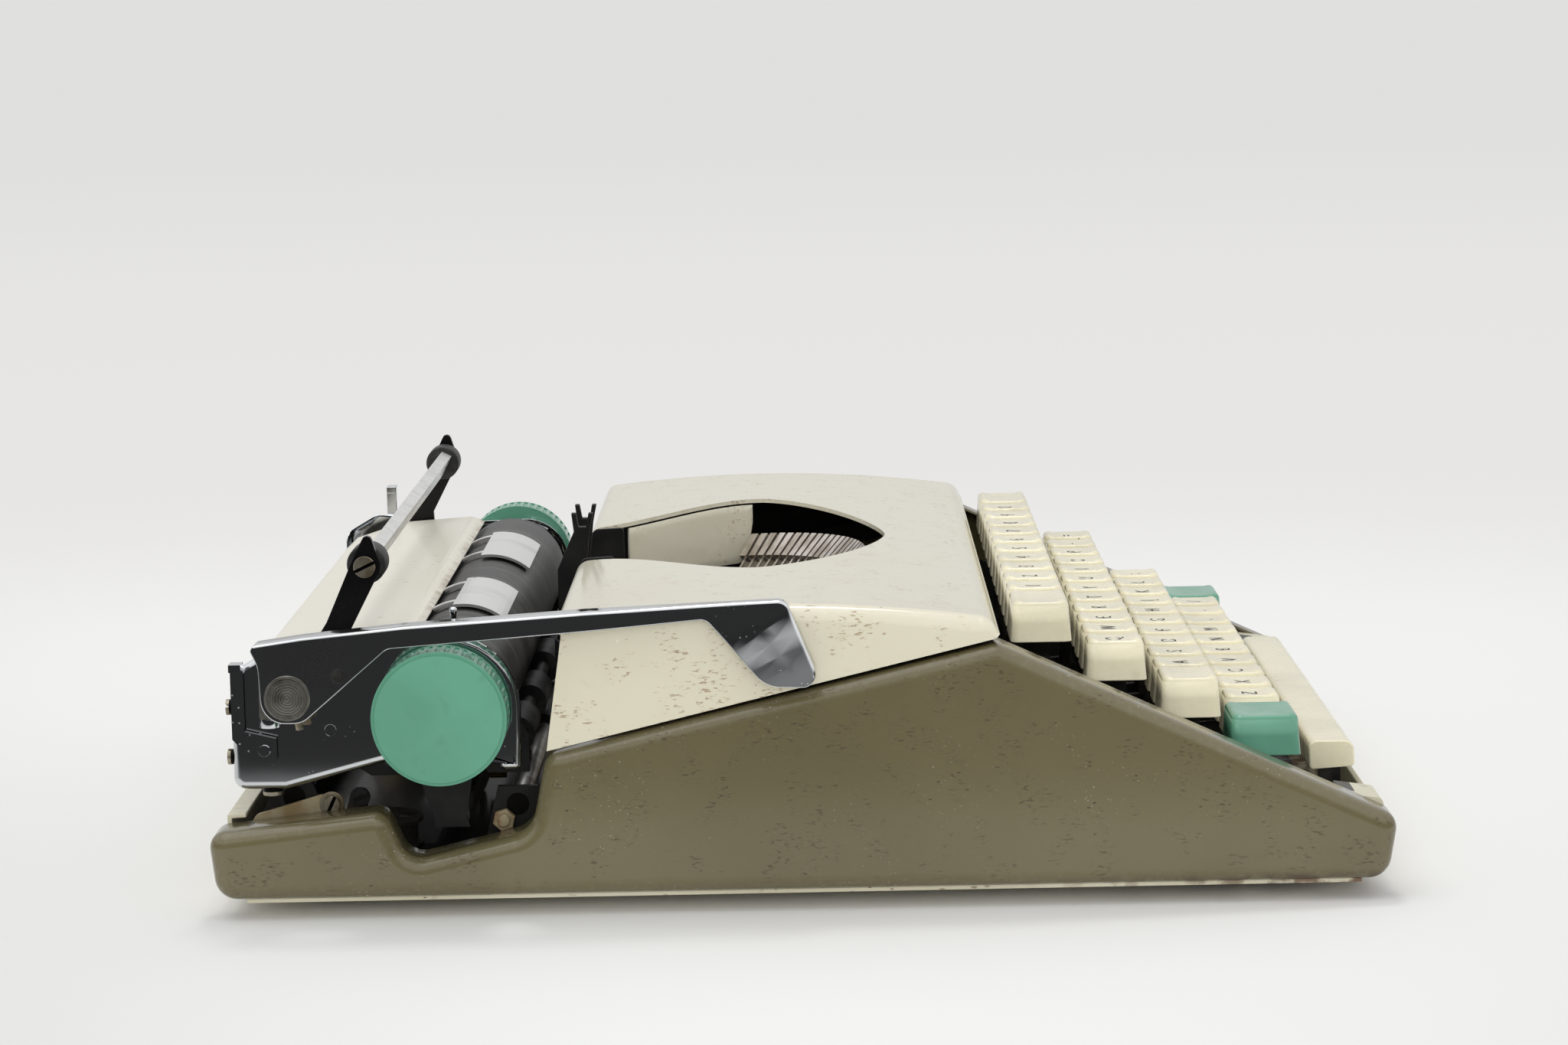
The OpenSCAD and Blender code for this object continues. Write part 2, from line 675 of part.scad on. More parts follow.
// Escapement: pinion in the rack, star wheel and axle
module escapement_wheel() {
    color("#a08f5c") translate([0, 0, pinion_z]) rotate([-90, 0, 0]) {
        translate([0, 0, rack_y]) linear_extrude(rack_w) pinion_outline();
        translate([0, 0, wheel_y]) linear_extrude(wheel_t) star_outline();
        translate([0, 0, rack_y]) cylinder(r = 2, h = 14);
    }
}
module pinion_outline() {
    root = pinion_r - 1.2;
    tip = pinion_r + 0.9;
    polygon([for (i = [0:pinion_teeth - 1]) let (a = -90 + 360 * i / pinion_teeth)
        each [
            root * [cos(a - 7.5), sin(a - 7.5)], tip * [cos(a - 2.2), sin(a - 2.2)],
            tip * [cos(a + 2.2), sin(a + 2.2)], root * [cos(a + 7.5), sin(a + 7.5)]]]);
}
module star_outline() {
    polygon([for (i = [0:23]) let (a = 15 * i)
        each [wheel_r * [cos(a), sin(a)], (wheel_r - 2) * [cos(a + 3), sin(a + 3)]]]);
}

// Spring drum that pulls the carriage, under its left end
module spring_drum() {
    color("#8c8a83") translate([drum.x, drum.y, drum_z]) difference() {
        union() {
            cylinder(r = drum_r, h = 1.2);
            cylinder(r = drum_r - 1.5, h = 8);
            translate([0, 0, 7]) cylinder(r = drum_r, h = 1.2);
        }
        translate([0, 0, -1]) cylinder(r = drum_stud_r + run_gap, h = 12);
        for (a = [0:90:270]) rotate(a) translate([8, 0, 7.4]) cylinder(r = 1.6, h = 2);
    }
}

// Line bell with its stud
module line_bell() {
    color("#b5a66a") translate([70, 122, 0]) {
        difference() {
            translate([0, 0, 6]) intersection() {
                sphere(r = 15);
                translate([-20, -20, 3]) cube(40);
            }
            translate([0, 0, 5]) sphere(r = 14.4);
        }
        translate([0, 0, floor_z + sheet]) cylinder(r = 2, h = 16.4);
    }
}

// Carriage frame: two inner plates, the rear beam and feed roller bearings
feed_at = [for (s = [-1, 1]) [platen_y + s * 15.4, platen_z - 15.4 - (platen_r - 16.5)]];
beam_x = plate_x - 10;
module carriage_frame() {
    color("#565654") difference() {
        union() {
            both_sides() along_x(plate_x, plate_x + plate_t) polygon([
                [142, 37], [142, 58], [128, 66], [100, 68], each arc([platen_y, platen_z], 15.4, 75, 180, 8),
                [75.5, 50], [72, 44], [72, 34.6], [83, 34.6], [86, 42], [100, 42], [104, 34.4], [114, 34.4], [118, 37]]);
            block(-beam_x, beam_x, 116, 142, 38, 41);
            block(-beam_x, beam_x, 139.5, 142, 38, 52);
            both_sides() {
                block(beam_x - 1, plate_x + 0.5, 131, 142, 38, 41);
                translate([post.x, post.y, 38]) cylinder(r = 5, h = 12);
            }
        }
        rod_x([platen_y, platen_z], shaft_r + run_gap, -200, 200);
        for (p = feed_at) rod_x(p, 2 + run_gap, -200, 200);
        both_sides() translate([post.x, post.y, 30]) cylinder(r = 3 + run_gap, h = 40);
    }
    color("#565654") both_sides() rod_x(bail_axis, 2.4, bail_x - 0.4, plate_x + 0.3);
}

// Polished outer cheeks of the carriage, with a stud for each release lever; the right one is lower
carriage_free_at = [140, 44.5];
paper_free_at = [128, 62];
module carriage_cheek(r) {
    difference() {
        union() {
            along_x(cheek_x, cheek_x + cheek_t) polygon([
                [147, 35.6], [148, 55], [145, 63], [138, 69.6], [112, platen_z + r - 1.3],
                each arc([platen_y, platen_z], r, 80, 190, 12),
                [73.6, 38.4], [78.6, 38.4], [78.8, 45], [84, 48.6], [102, 48.6], [109.2, 41]]);
            block(plate_x + plate_t, cheek_x + 0.5, 144, 145.4, 38, 60);
            block(plate_x + plate_t, cheek_x + 0.5, 139, 145.4, 44, 46);
        }
        rod_x([platen_y, platen_z], shaft_r + pass_gap, -200, 200);
    }
}
module carriage_cheek_left() {
    color("#c9cacb") {
        mirror([1, 0, 0]) carriage_cheek(cheek_r);
        for (z = [50.6, 66.6]) difference() {
            translate([-hinge_pin.x, hinge_pin.y, z]) cylinder(r = pin_r + 1.1, h = 2.4);
            translate([-hinge_pin.x, hinge_pin.y, z - 1]) cylinder(r = pin_r, h = 5);
        }
        for (z = [50.6, 66.6]) block(-hinge_pin.x - 0.4, -cheek_x - 0.5, 139.9, 141, z, z + 2.4);
        translate([-hinge_pin.x, hinge_pin.y, 50.6]) cylinder(r = pin_r, h = 18.4);
        rod_x(carriage_free_at, pin_r, -cheek_x - 5.9, -cheek_x - 0.5);
    }
}
module carriage_cheek_right() {
    color("#c9cacb") {
        carriage_cheek(cheek_low_r);
        rod_x(paper_free_at, pin_r, cheek_x + 0.5, cheek_x + 5.9);
    }
}

// Paper table behind the platen
table_half = beam_x + 2.5;
table_bend = [107.4, 62.6];
module paper_table() {
    color("#d9d5bf") along_x(-table_half, table_half) polygon([
        each arc(table_bend, 9, 128, 96, 5), [128, 70.2], [143, 65.4], [146.6, 62], [146.6, 53],
        [145.6, 53], [145.6, 61.6], [142.6, 64.4], [128, 69.2],
        each arc(table_bend, 8, 96, 128, 5)]);
    color("#d9d5bf") both_sides()
        block(beam_x - 11, beam_x, 141, 146, 52, 53.5);
}

// Curved plates that hold the paper's edge to the platen
module paper_plates() {
    color("#c4c6c4") both_sides() {
        along_x(24, 76) polygon(concat(
            arc([platen_y, platen_z], platen_r + 1.7, 82, 131, 10),
            arc([platen_y, platen_z], platen_r + 0.9, 131, 82, 10)));
        for (x = [30, 66]) along_x(x, x + 4) polygon(concat(
            arc([platen_y, platen_z], platen_r + 1.7, 61.5, 84, 6),
            arc([platen_y, platen_z], platen_r + 0.9, 84, 61.5, 6)));
    }
}

// Platen with its shaft
module platen() {
    color("#38383a") {
        rod_x([platen_y, platen_z], platen_r, -platen_len / 2, platen_len / 2);
        rod_x([platen_y, platen_z], shaft_r, -knob_x - 4, knob_x + 4);
    }
}

// Knurled platen knobs
module platen_knob() {
    difference() {
        union() {
            rod_x([platen_y, platen_z], knob_r, knob_x, knob_x + knob_t - 1);
            rod_x([platen_y, platen_z], knob_r - 1, knob_x + knob_t - 1, knob_x + knob_t);
        }
        rod_x([platen_y, platen_z], shaft_r + 0.02, knob_x - 1, knob_x + 4.02);
        for (a = [0:7.5:359]) translate([knob_x + 1.4, platen_y, platen_z]) rotate([a, 0, 0])
            translate([0, knob_r + 0.25, 0]) rotate([0, 90, 0]) cylinder(r = 0.7, h = knob_t - 3.4);
    }
}
module platen_knob_left() {
    color("#5f8f86") mirror([1, 0, 0]) platen_knob();
}
module platen_knob_right() {
    color("#5f8f86") platen_knob();
}

// Line space ratchet on the platen shaft
module line_ratchet() {
    color("#9b9a94") difference() {
        along_x(-plate_x - 5.4, -plate_x - plate_t - 0.8) translate([platen_y, platen_z]) polygon([
            for (i = [0:29]) let (a = 12 * i) each [11 * [cos(a), sin(a)], 9.4 * [cos(a + 3), sin(a + 3)]]]);
        rod_x([platen_y, platen_z], shaft_r, -200, 200);
    }
}

// Feed rollers under the platen
module feed_roller(i) {
    for (x = [-82, -30, 30, 82]) rod_x(feed_at[i], feed_r, x - 13, x + 13);
    rod_x(feed_at[i], 2, -plate_x - plate_t, plate_x + plate_t);
}
module feed_roller_front() {
    color("#47443f") feed_roller(0);
}
module feed_roller_rear() {
    color("#47443f") feed_roller(1);
}

// Paper bail: arms, scale bar and roller rod
bail_roller_w = 10;
bail_bar_t = 3.4;
bail_bar_h = 7;
bail_roller_x = bail_x - bail_roller_w / 2 - 0.8;
bail_bar_x = bail_roller_x - bail_roller_w / 2 - 0.8;
module paper_bail() {
    knee = [121.6, 73];
    color("#b4b5b3") {
        both_sides() difference() {
            along_x(bail_x, bail_x + bail_t) polygon([
                each arc(bail_axis, 4.4, 200, 340, 8), [bail_axis.x + 4, 58], [131.4, 60.6], [133, 62.4],
                [knee.x + 3.4, knee.y + 2], [bail_at.x + 4.4, bail_at.y - 0.6],
                each arc(bail_at + [-0.6, 6.6], 1.4, 10, 170, 4),
                each arc(bail_at, 4, 150, 215, 4), [knee.x - 3, knee.y], [bail_axis.x - 4, 62]]);
            rod_x(bail_axis, 2.4 + run_gap, 0, 200);
        }
        rod_x(bail_at, 1.5, -bail_x - 0.4, bail_x + 0.4);
        both_sides() rod_x(bail_at, 2.6, bail_x + bail_t - 0.2, bail_x + bail_t + 1.2);
        along_x(-bail_bar_x, bail_bar_x) translate(bail_at) rotate(26)
            translate([-bail_bar_t / 2, -bail_bar_h / 2]) square([bail_bar_t, bail_bar_h]);
    }
}
module bail_rollers() {
    color("#4d4c4a") for (x = [-bail_roller_x, bail_roller_x]) difference() {
        rod_x(bail_at, bail_roller_r, x - bail_roller_w / 2, x + bail_roller_w / 2);
        rod_x(bail_at, 1.5 + run_gap, -200, 200);
    }
}

// Bracket that swings out with the return lever
bracket_t = 1.8;
plate_out = hinge_pin.x + 4;
stud_r = 3;
module lever_bracket() {
    color("#a9aaab") difference() {
        union() {
            block(-plate_out, -plate_out + bracket_t, 127, 140.5, 53.4, 66.4);
            translate([-hinge_pin.x, hinge_pin.y, 53.4]) cylinder(r = pin_r + 1.1, h = 13);
            block(-plate_out + 1, -hinge_pin.x, 136.8, 140.4, 53.4, 66.4);
            rod_x(boss, stud_r, -lever_out + 1, -plate_out + 1);
        }
        translate([-hinge_pin.x, hinge_pin.y, 40]) cylinder(r = pin_r + run_gap, h = 40);
    }
}

// Carriage return lever, folded along the left side
lever_out_x = -lever_out + 0.6;
lever_flange = 1.4;
module return_lever() {
    top_rear = [141.7, 73.7];
    tip = [5.4, 82.6];
    paddle = [-3.4, 62.8];
    color("#cfd0d1") difference() {
        union() {
            along_x(lever_out_x, lever_out_x + lever_flange) polygon([
                top_rear, tip, [3, 82], [-3.6, 66], paddle, [-0.3, 61.1], [6, 62.4], [10.5, 64.1],
                [16, 74], [23.6, 78.1], [106.1, 72.8], [118, 70.4], [124, 60],
                each arc(boss, 7.4, 190, 340, 8), [141, 66]]);
            along_x(lever_out_x, -lever_in) polygon([
                top_rear, tip, tip + [0, -lever_flange], top_rear + [0, -lever_flange]]);
            along_x(lever_out_x, -lever_in) polygon([
                tip, [3, 82], [-3.6, 66], paddle, paddle + [lever_flange, 0.3], [-2.2, 66], [4.2, 81], tip + [1, -1]]);
            rod_x(boss, boss_r, -lever_out, -lever_in);
        }
        rod_x(boss, stud_r + run_gap, -lever_out + 0.9, -lever_in + 1);
    }
}

// Release levers at the two ends of the carriage
module release_lever(at, tip) {
    difference() {
        union() {
            along_x(cheek_x + 2.7, cheek_x + 4.7) polygon([
                [at.x - 3, at.y - 3], [at.x + 3, at.y - 3], [tip.x + 1.6, at.y + 3], [tip.x + 1.6, tip.y],
                [tip.x - 1.6, tip.y], [tip.x - 1.6, at.y + 5], [at.x - 3, at.y + 3]]);
            block(cheek_x + 2.3, cheek_x + 7.5, tip.x - 1.6, tip.x + 1.6, tip.y - 2, tip.y);
        }
        rod_x(at, pin_r + run_gap, cheek_x, cheek_x + 10);
    }
}
module carriage_release() {
    color("#b9babb") mirror([1, 0, 0]) release_lever(carriage_free_at, [146.8, 67.6]);
}
module paper_release() {
    color("#b9babb") release_lever(paper_free_at, [134, 79]);
}

// Margin stops on the rear beam
module margin_stop(x) {
    difference() {
        block(x - 4, x + 4, 136.4, 143.6, 44, 56);
        block(x - 10, x + 10, 139.5 - pass_gap, 142 + pass_gap, 40, 52 + pass_gap);
    }
}
module margin_stop_left() {
    color("#97968f") margin_stop(22 - beam_x);
}
module margin_stop_right() {
    color("#97968f") margin_stop(beam_x - 22);
}

// Fasteners: screws that hold the frame to the pan and the panels to the frame
module frame_screws() {
    color("#c2c3c2") both_sides() {
        for (y = [-126, -114]) translate([frame_x - 7, y, panel_z + 2]) screw_up(2.6);
        rod_x([75, 16], 3, frame_x + frame_t, frame_x + frame_t + 2);
        rod_x([120, 11], 3, frame_x + frame_t, frame_x + frame_t + 2);
    }
}
module screw_up(r) {
    difference() {
        cylinder(r = r, h = 1.6);
        translate([-r, -0.4, 0.9]) cube([2 * r, 0.8, 2]);
    }
}

side_panel_left();
side_panel_right();
body_pan();
rubber_feet();
main_frame();
ground_rods();
key_comb();
type_segment();
typebars();
type_guide();
ribbon();
line_bell();
frame_screws();
ribbon_cover();
ribbon_spool_left();
ribbon_spool_right();
ribbon_vibrator();
striking_typebar();
carriage_truck();
carriage_rack();
carriage_frame();
carriage_cheek_left();
carriage_cheek_right();
paper_table();
paper_plates();
platen();
platen_knob_left();
platen_knob_right();
line_ratchet();
feed_roller_front();
feed_roller_rear();
paper_bail();
bail_rollers();
lever_bracket();
return_lever();
carriage_release();
paper_release();
margin_stop_left();
margin_stop_right();
spring_drum();
escapement_wheel();
number_row();
upper_row();
lower_row();
home_key_01();
home_key_02();
home_key_03();
home_key_04();
home_key_05();
home_key_06();
home_key_07();
home_key_08();
home_key_09();
home_key_10();
shift_key_left();
shift_key_right();
shift_lock_key();
margin_release_key();
backspace_key();
space_bar();
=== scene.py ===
"""Looks of the portable typewriter: its finishes, finer pieces, light and camera."""

import logging
import math
from dataclasses import dataclass
from enum import Enum
from typing import Optional, Sequence, Union

import bpy
import numpy as np
from mathutils import Matrix, Vector


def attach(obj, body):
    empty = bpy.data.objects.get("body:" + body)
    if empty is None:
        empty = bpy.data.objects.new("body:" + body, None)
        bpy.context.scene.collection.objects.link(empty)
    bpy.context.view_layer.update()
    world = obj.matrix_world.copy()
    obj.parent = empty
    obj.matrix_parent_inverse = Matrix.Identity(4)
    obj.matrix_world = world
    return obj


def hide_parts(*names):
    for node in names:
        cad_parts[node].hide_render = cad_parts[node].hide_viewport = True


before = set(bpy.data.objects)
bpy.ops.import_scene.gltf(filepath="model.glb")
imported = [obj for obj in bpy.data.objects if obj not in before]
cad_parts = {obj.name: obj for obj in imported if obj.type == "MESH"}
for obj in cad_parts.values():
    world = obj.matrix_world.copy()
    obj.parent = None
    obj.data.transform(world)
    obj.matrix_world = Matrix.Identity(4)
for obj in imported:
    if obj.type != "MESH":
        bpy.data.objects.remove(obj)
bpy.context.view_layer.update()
MM = 0.001
SHARP = math.radians(32)
LOG = logging.getLogger("typewriter")

Triple = tuple[float, float, float]
Colour = Triple
Pair = tuple[float, float]
Number = Union[float, "Signal"]


def linear(colour: Colour) -> tuple[float, float, float, float]:
    """Turns a display colour into a linear one.

    Args:
        colour: red, green and blue from 0 to 1, as a screen shows them.

    Returns:
        The linear colour with an alpha of 1.
    """
    c = np.asarray(colour, float)
    c = np.where(c <= 0.04045, c / 12.92, ((c + 0.055) / 1.055) ** 2.4)
    return (float(c[0]), float(c[1]), float(c[2]), 1.0)


class Side(Enum):
    """The two ends of the machine, as signs of X."""

    LEFT = -1
    RIGHT = 1

    @property
    def word(self) -> str:
        """The end's name, as the pieces' names have it."""
        return self.name.lower()

    @property
    def out(self) -> Triple:
        """The way out of the machine at this end."""
        return (float(self.value), 0.0, 0.0)


class Signal:
    """A shader socket that takes part in arithmetic."""

    def __init__(self, graph: "Graph", socket: bpy.types.NodeSocket) -> None:
        """Keeps the graph and the output socket."""
        self.graph = graph
        self.socket = socket

    def _math(self, operation: str, first: Number, second: Number = 0.0) -> "Signal":
        """Adds one Math node."""
        return self.graph.add("ShaderNodeMath", {"operation": operation}, {0: first, 1: second})

    def __add__(self, other: Number) -> "Signal":
        """Sum."""
        return self._math("ADD", self, other)

    __radd__ = __add__

    def __sub__(self, other: Number) -> "Signal":
        """Difference."""
        return self._math("SUBTRACT", self, other)

    def __rsub__(self, other: Number) -> "Signal":
        """Difference, with the number first."""
        return self._math("SUBTRACT", other, self)

    def __mul__(self, other: Number) -> "Signal":
        """Product."""
        return self._math("MULTIPLY", self, other)

    __rmul__ = __mul__

    def __pow__(self, other: Number) -> "Signal":
        """Power."""
        return self._math("POWER", self, other)

    def larger(self, other: Number) -> "Signal":
        """The larger of two values."""
        return self._math("MAXIMUM", self, other)

    def wave(self) -> "Signal":
        """Sine of the value, in radians."""
        return self._math("SINE", self)

    def step(self, low: float, high: float) -> "Signal":
        """Smooth step from 0 at low to 1 at high; low above high turns it round."""
        flip = low > high
        settings = {"interpolation_type": "SMOOTHSTEP"}
        limits = {"Value": self, "From Min": min(low, high), "From Max": max(low, high)}
        rise = self.graph.add("ShaderNodeMapRange", settings, limits)
        return 1.0 - rise if flip else rise


class Graph:
    """The node tree of a material or of the world."""

    def __init__(self, owner: Union[bpy.types.Material, bpy.types.World], coordinates: str = "Object") -> None:
        """Starts an empty tree.

        Args:
            owner: the material or world.
            coordinates: what its patterns are laid out in.
        """
        self.owner = owner
        owner.use_nodes = True
        self.tree = owner.node_tree
        self.tree.nodes.clear()
        self.point = self.add("ShaderNodeTexCoord", {}, {}, coordinates)

    def add(self, kind: str, settings: dict, inputs: dict, output: Union[int, str] = 0) -> Signal:
        """Adds a node.

        Args:
            kind: the node's type.
            settings: its properties, which are set first.
            inputs: a value or a signal for each named or numbered socket.
            output: which output to return.

        Returns:
            The chosen output.
        """
        node = self.tree.nodes.new(kind)
        for key, value in settings.items():
            setattr(node, key, value)
        for key, value in inputs.items():
            if isinstance(value, Signal):
                self.tree.links.new(value.socket, node.inputs[key])
            else:
                node.inputs[key].default_value = value
        return Signal(self, node.outputs[output])

    def also(self, signal: Signal, output: str) -> Signal:
        """Another output of the node behind a signal."""
        return Signal(self, signal.socket.node.outputs[output])

    def mix(self, share: Number, first: Union[Colour, Signal], second: Union[Colour, Signal]) -> Signal:
        """Blends two colours: share 0 gives the first, 1 the second."""
        pair = [c if isinstance(c, Signal) else linear(c) for c in (first, second)]
        return self.add("ShaderNodeMix", {"data_type": "RGBA"}, {0: share, 6: pair[0], 7: pair[1]}, 2)

    def stretched(self, scale: Sequence[float]) -> Signal:
        """The coordinates, scaled by axis."""
        return self.add("ShaderNodeMapping", {}, {"Vector": self.point, "Scale": tuple(scale)})

    def axis(self, name: str) -> Signal:
        """One coordinate, named X, Y or Z, in metres on a piece."""
        return self.add("ShaderNodeSeparateXYZ", {}, {"Vector": self.point}, name)

    def attribute(self, name: str) -> Signal:
        """A mesh attribute's value, 0 where the mesh has none."""
        return self.add("ShaderNodeAttribute", {"attribute_name": name}, {}, "Fac")

    def noise(self, size: float, detail: float, vector: Optional[Signal] = None) -> Signal:
        """Noise whose features are about size metres across."""
        inputs = {"Vector": vector or self.point, "Scale": 1.0 / size, "Detail": detail}
        return self.add("ShaderNodeTexNoise", {}, inputs)

    def specks(self, size: float, share: float, width: float, vector: Optional[Signal] = None) -> Signal:
        """Scattered round specks.

        Args:
            size: the spacing of the cells that may hold a speck, in metres.
            share: the part of the cells that hold one.
            width: a speck's radius as a part of the spacing.
            vector: coordinates to scatter them in, if not the plain ones.

        Returns:
            A mask that is 1 on a speck.
        """
        inputs = {"Vector": vector or self.point, "Scale": 1.0 / size}
        distance = self.add("ShaderNodeTexVoronoi", {"feature": "F1"}, inputs, "Distance")
        chance = self.add("ShaderNodeSeparateColor", {}, {"Color": self.also(distance, "Color")}, "Red")
        return distance.step(width, width * 0.5) * chance.step(share, share * 0.9)

    def bump(self, height: Signal, strength: float, depth: float) -> Signal:
        """A bumped normal; depth is the height's scale in metres."""
        return self.add("ShaderNodeBump", {}, {"Height": height, "Strength": strength, "Distance": depth}, "Normal")

    def surface(self, colour: Signal, roughness: Number, normal: Signal, **more: Number) -> None:
        """Adds the surface shader and the output.

        Args:
            colour: base colour.
            roughness: roughness.
            normal: bumped normal.
            more: other sockets of the shader, with underscores for spaces.
        """
        inputs = {"Base Color": colour, "Roughness": roughness, "Normal": normal}
        inputs.update({key.replace("_", " "): value for key, value in more.items()})
        self.add_output(self.add("ShaderNodeBsdfPrincipled", {}, inputs))

    def add_output(self, shader: Signal) -> None:
        """Links a shader to the output of the material or world."""
        kind = "World" if isinstance(self.owner, bpy.types.World) else "Material"
        node = self.tree.nodes.new("ShaderNodeOutput" + kind)
        self.tree.links.new(shader.socket, node.inputs["Surface"])


@dataclass(frozen=True)
class Finish:
    """A finish with a colour and a roughness."""

    name: str
    colour: Colour
    roughness: float

    def material(self) -> bpy.types.Material:
        """The finish's material, made once."""
        name = "worn_" + self.name
        found = bpy.data.materials.get(name)
        if found:
            return found
        graph = Graph(bpy.data.materials.new(name))
        self.paint(graph)
        return graph.owner

    def paint(self, graph: Graph) -> None:
        """Fills the graph; each kind of finish has its own."""
        raise NotImplementedError


@dataclass(frozen=True)
class Enamel(Finish):
    """Baked enamel with orange peel, pale scuffs, rust specks and worn edges."""

    shade: Colour
    scuff: Colour
    scuffs: float
    rusty: float
    wear: float
    peel: float
    rust: Colour = (0.26, 0.15, 0.08)
    foot: float = 0.0
    coat: float = 0.15
    flecks: float = 0.0
    stain: Optional[Pair] = None
    # inside: reaches in X and Y and a height; the enamel within them and above it is painted dark as shade
    inside: Optional[Triple] = None

    def scuffed(self, graph: Graph, patch: Signal) -> Signal:
        """Where pale scuffs lie: specks of two sizes and long scratches, in patches."""
        speck = graph.specks(2.6 * MM, self.scuffs, 0.2).larger(graph.specks(0.9 * MM, self.scuffs, 0.3))
        scratch = graph.noise(1.0, 2.0, graph.stretched((40.0, 420.0, 900.0))).step(0.74, 0.8)
        return (speck * patch.step(0.46, 0.6)).larger(scratch * patch.step(0.52, 0.62) * 0.7)

    def rusted(self, graph: Graph, patch: Signal) -> Signal:
        """Where rust lies: specks drawn out along Y, fine flecks, blotches and worn rims.

        Rust also creeps up from foot metres above the table, and a stain lies between two places along Y.
        """
        drawn = graph.stretched((1.0, 0.4, 1.0))
        rust = graph.specks(2.4 * MM, self.rusty, 0.22, drawn).larger(graph.specks(1.0 * MM, self.rusty, 0.26, drawn))
        rust = rust * patch.step(0.4, 0.62)
        if self.flecks:
            fine = graph.noise(0.55 * MM, 4.0, graph.stretched((1.0, 0.3, 1.0))).step(0.55, 0.66)
            rust = rust.larger(fine * graph.noise(8 * MM, 4.0).step(0.51, 0.62) * self.flecks)
        smudge = graph.noise(3.4 * MM, 6.0, graph.stretched((1.0, 0.45, 1.0)))
        blotch = smudge.step(0.6, 0.74) * patch.step(0.5, 0.62)
        rim = graph.attribute("rim") * graph.noise(2.2 * MM, 5.0).step(0.5, 0.66)
        rust = rust.larger(blotch * min(0.5, 5 * self.rusty)).larger(rim)
        if self.foot:
            low = graph.axis("Z").step(self.foot + 3 * MM, self.foot) * graph.axis("Y").step(-0.03, -0.15)
            rust = rust.larger(low * graph.noise(6 * MM, 6.0).step(0.42, 0.56))
        if self.stain:
            rust = rust.larger(graph.axis("Y").step(*self.stain) * graph.noise(7 * MM, 5.0).step(0.3, 0.7) * 0.6)
        return rust

    def paint(self, graph: Graph) -> None:
        """Mixes clouds of shade, scuffs and rust, with a fine bump; inside bounds a part in X, Y and height whose
        colour is painted near-black as shade.
        """
        cloud = graph.noise(60 * MM, 4.0)
        patch = graph.noise(22 * MM, 5.0)
        scuff, marks = self.scuffed(graph, patch), self.rusted(graph, patch)
        edge = graph.attribute("edge") * graph.noise(1.8 * MM, 4.0).step(0.5, 0.68) * self.wear
        colour = graph.mix(cloud.step(0.35, 0.72) * 0.8, self.colour, self.shade)
        colour = graph.mix(scuff * 0.55, colour, self.scuff)
        colour = graph.mix(edge, colour, self.scuff)
        colour = graph.mix(marks * 0.85, colour, self.rust)
        # Painted shade: the pan's interior is painted near-black within the inside bounds.
        if self.inside:
            reach_x, reach_y, low = self.inside
            x, y = graph.axis("X"), graph.axis("Y")
            painted_shade_well = (x * x).step(reach_x ** 2 + 4e-4, reach_x ** 2) * (y * y).step(reach_y ** 2 + 4e-5, reach_y ** 2)
            colour = graph.mix(painted_shade_well * graph.axis("Z").step(low, low + 0.2 * MM), colour, (0.13, 0.125, 0.115))
        rough = self.roughness + 0.12 * cloud + 0.3 * marks
        height = graph.noise(1.1 * MM, 2.0) * self.peel + marks * 0.3 + scuff * -0.15
        graph.surface(colour, rough, graph.bump(height, 0.35, 0.2 * MM), Coat_Weight=self.coat, Coat_Roughness=0.1)


@dataclass(frozen=True)
class PolishedMetal(Finish):
    """Plated sheet with pits, smears and a little rust."""

    pits: float
    rusty: float = 0.02
    dull: Colour = (0.3, 0.3, 0.3)

    def paint(self, graph: Graph) -> None:
        """Bright metal whose smears raise the roughness."""
        smear = graph.noise(26 * MM, 5.0, graph.stretched((1.0, 0.35, 1.0)))
        pit = graph.specks(1.3 * MM, self.pits, 0.24) * graph.noise(18 * MM, 3.0).step(0.36, 0.6)
        rust = graph.specks(4.2 * MM, self.rusty, 0.22)
        colour = graph.mix(smear.step(0.5, 0.75) * 0.3, self.colour, self.dull)
        colour = graph.mix(pit * 0.5, colour, (0.9, 0.9, 0.88))
        colour = graph.mix(rust * 0.8, colour, (0.3, 0.17, 0.08))
        rough = self.roughness + 0.1 * smear.step(0.45, 0.8) + 0.35 * pit + 0.4 * rust
        height = pit * -0.5 + graph.noise(9 * MM, 2.0) * 0.25
        height = height * (0.12 * 0.15 * MM)
        graph.surface(colour, rough, graph.bump(height, 1.0, 1.0), Metallic=1.0 - 0.85 * rust)


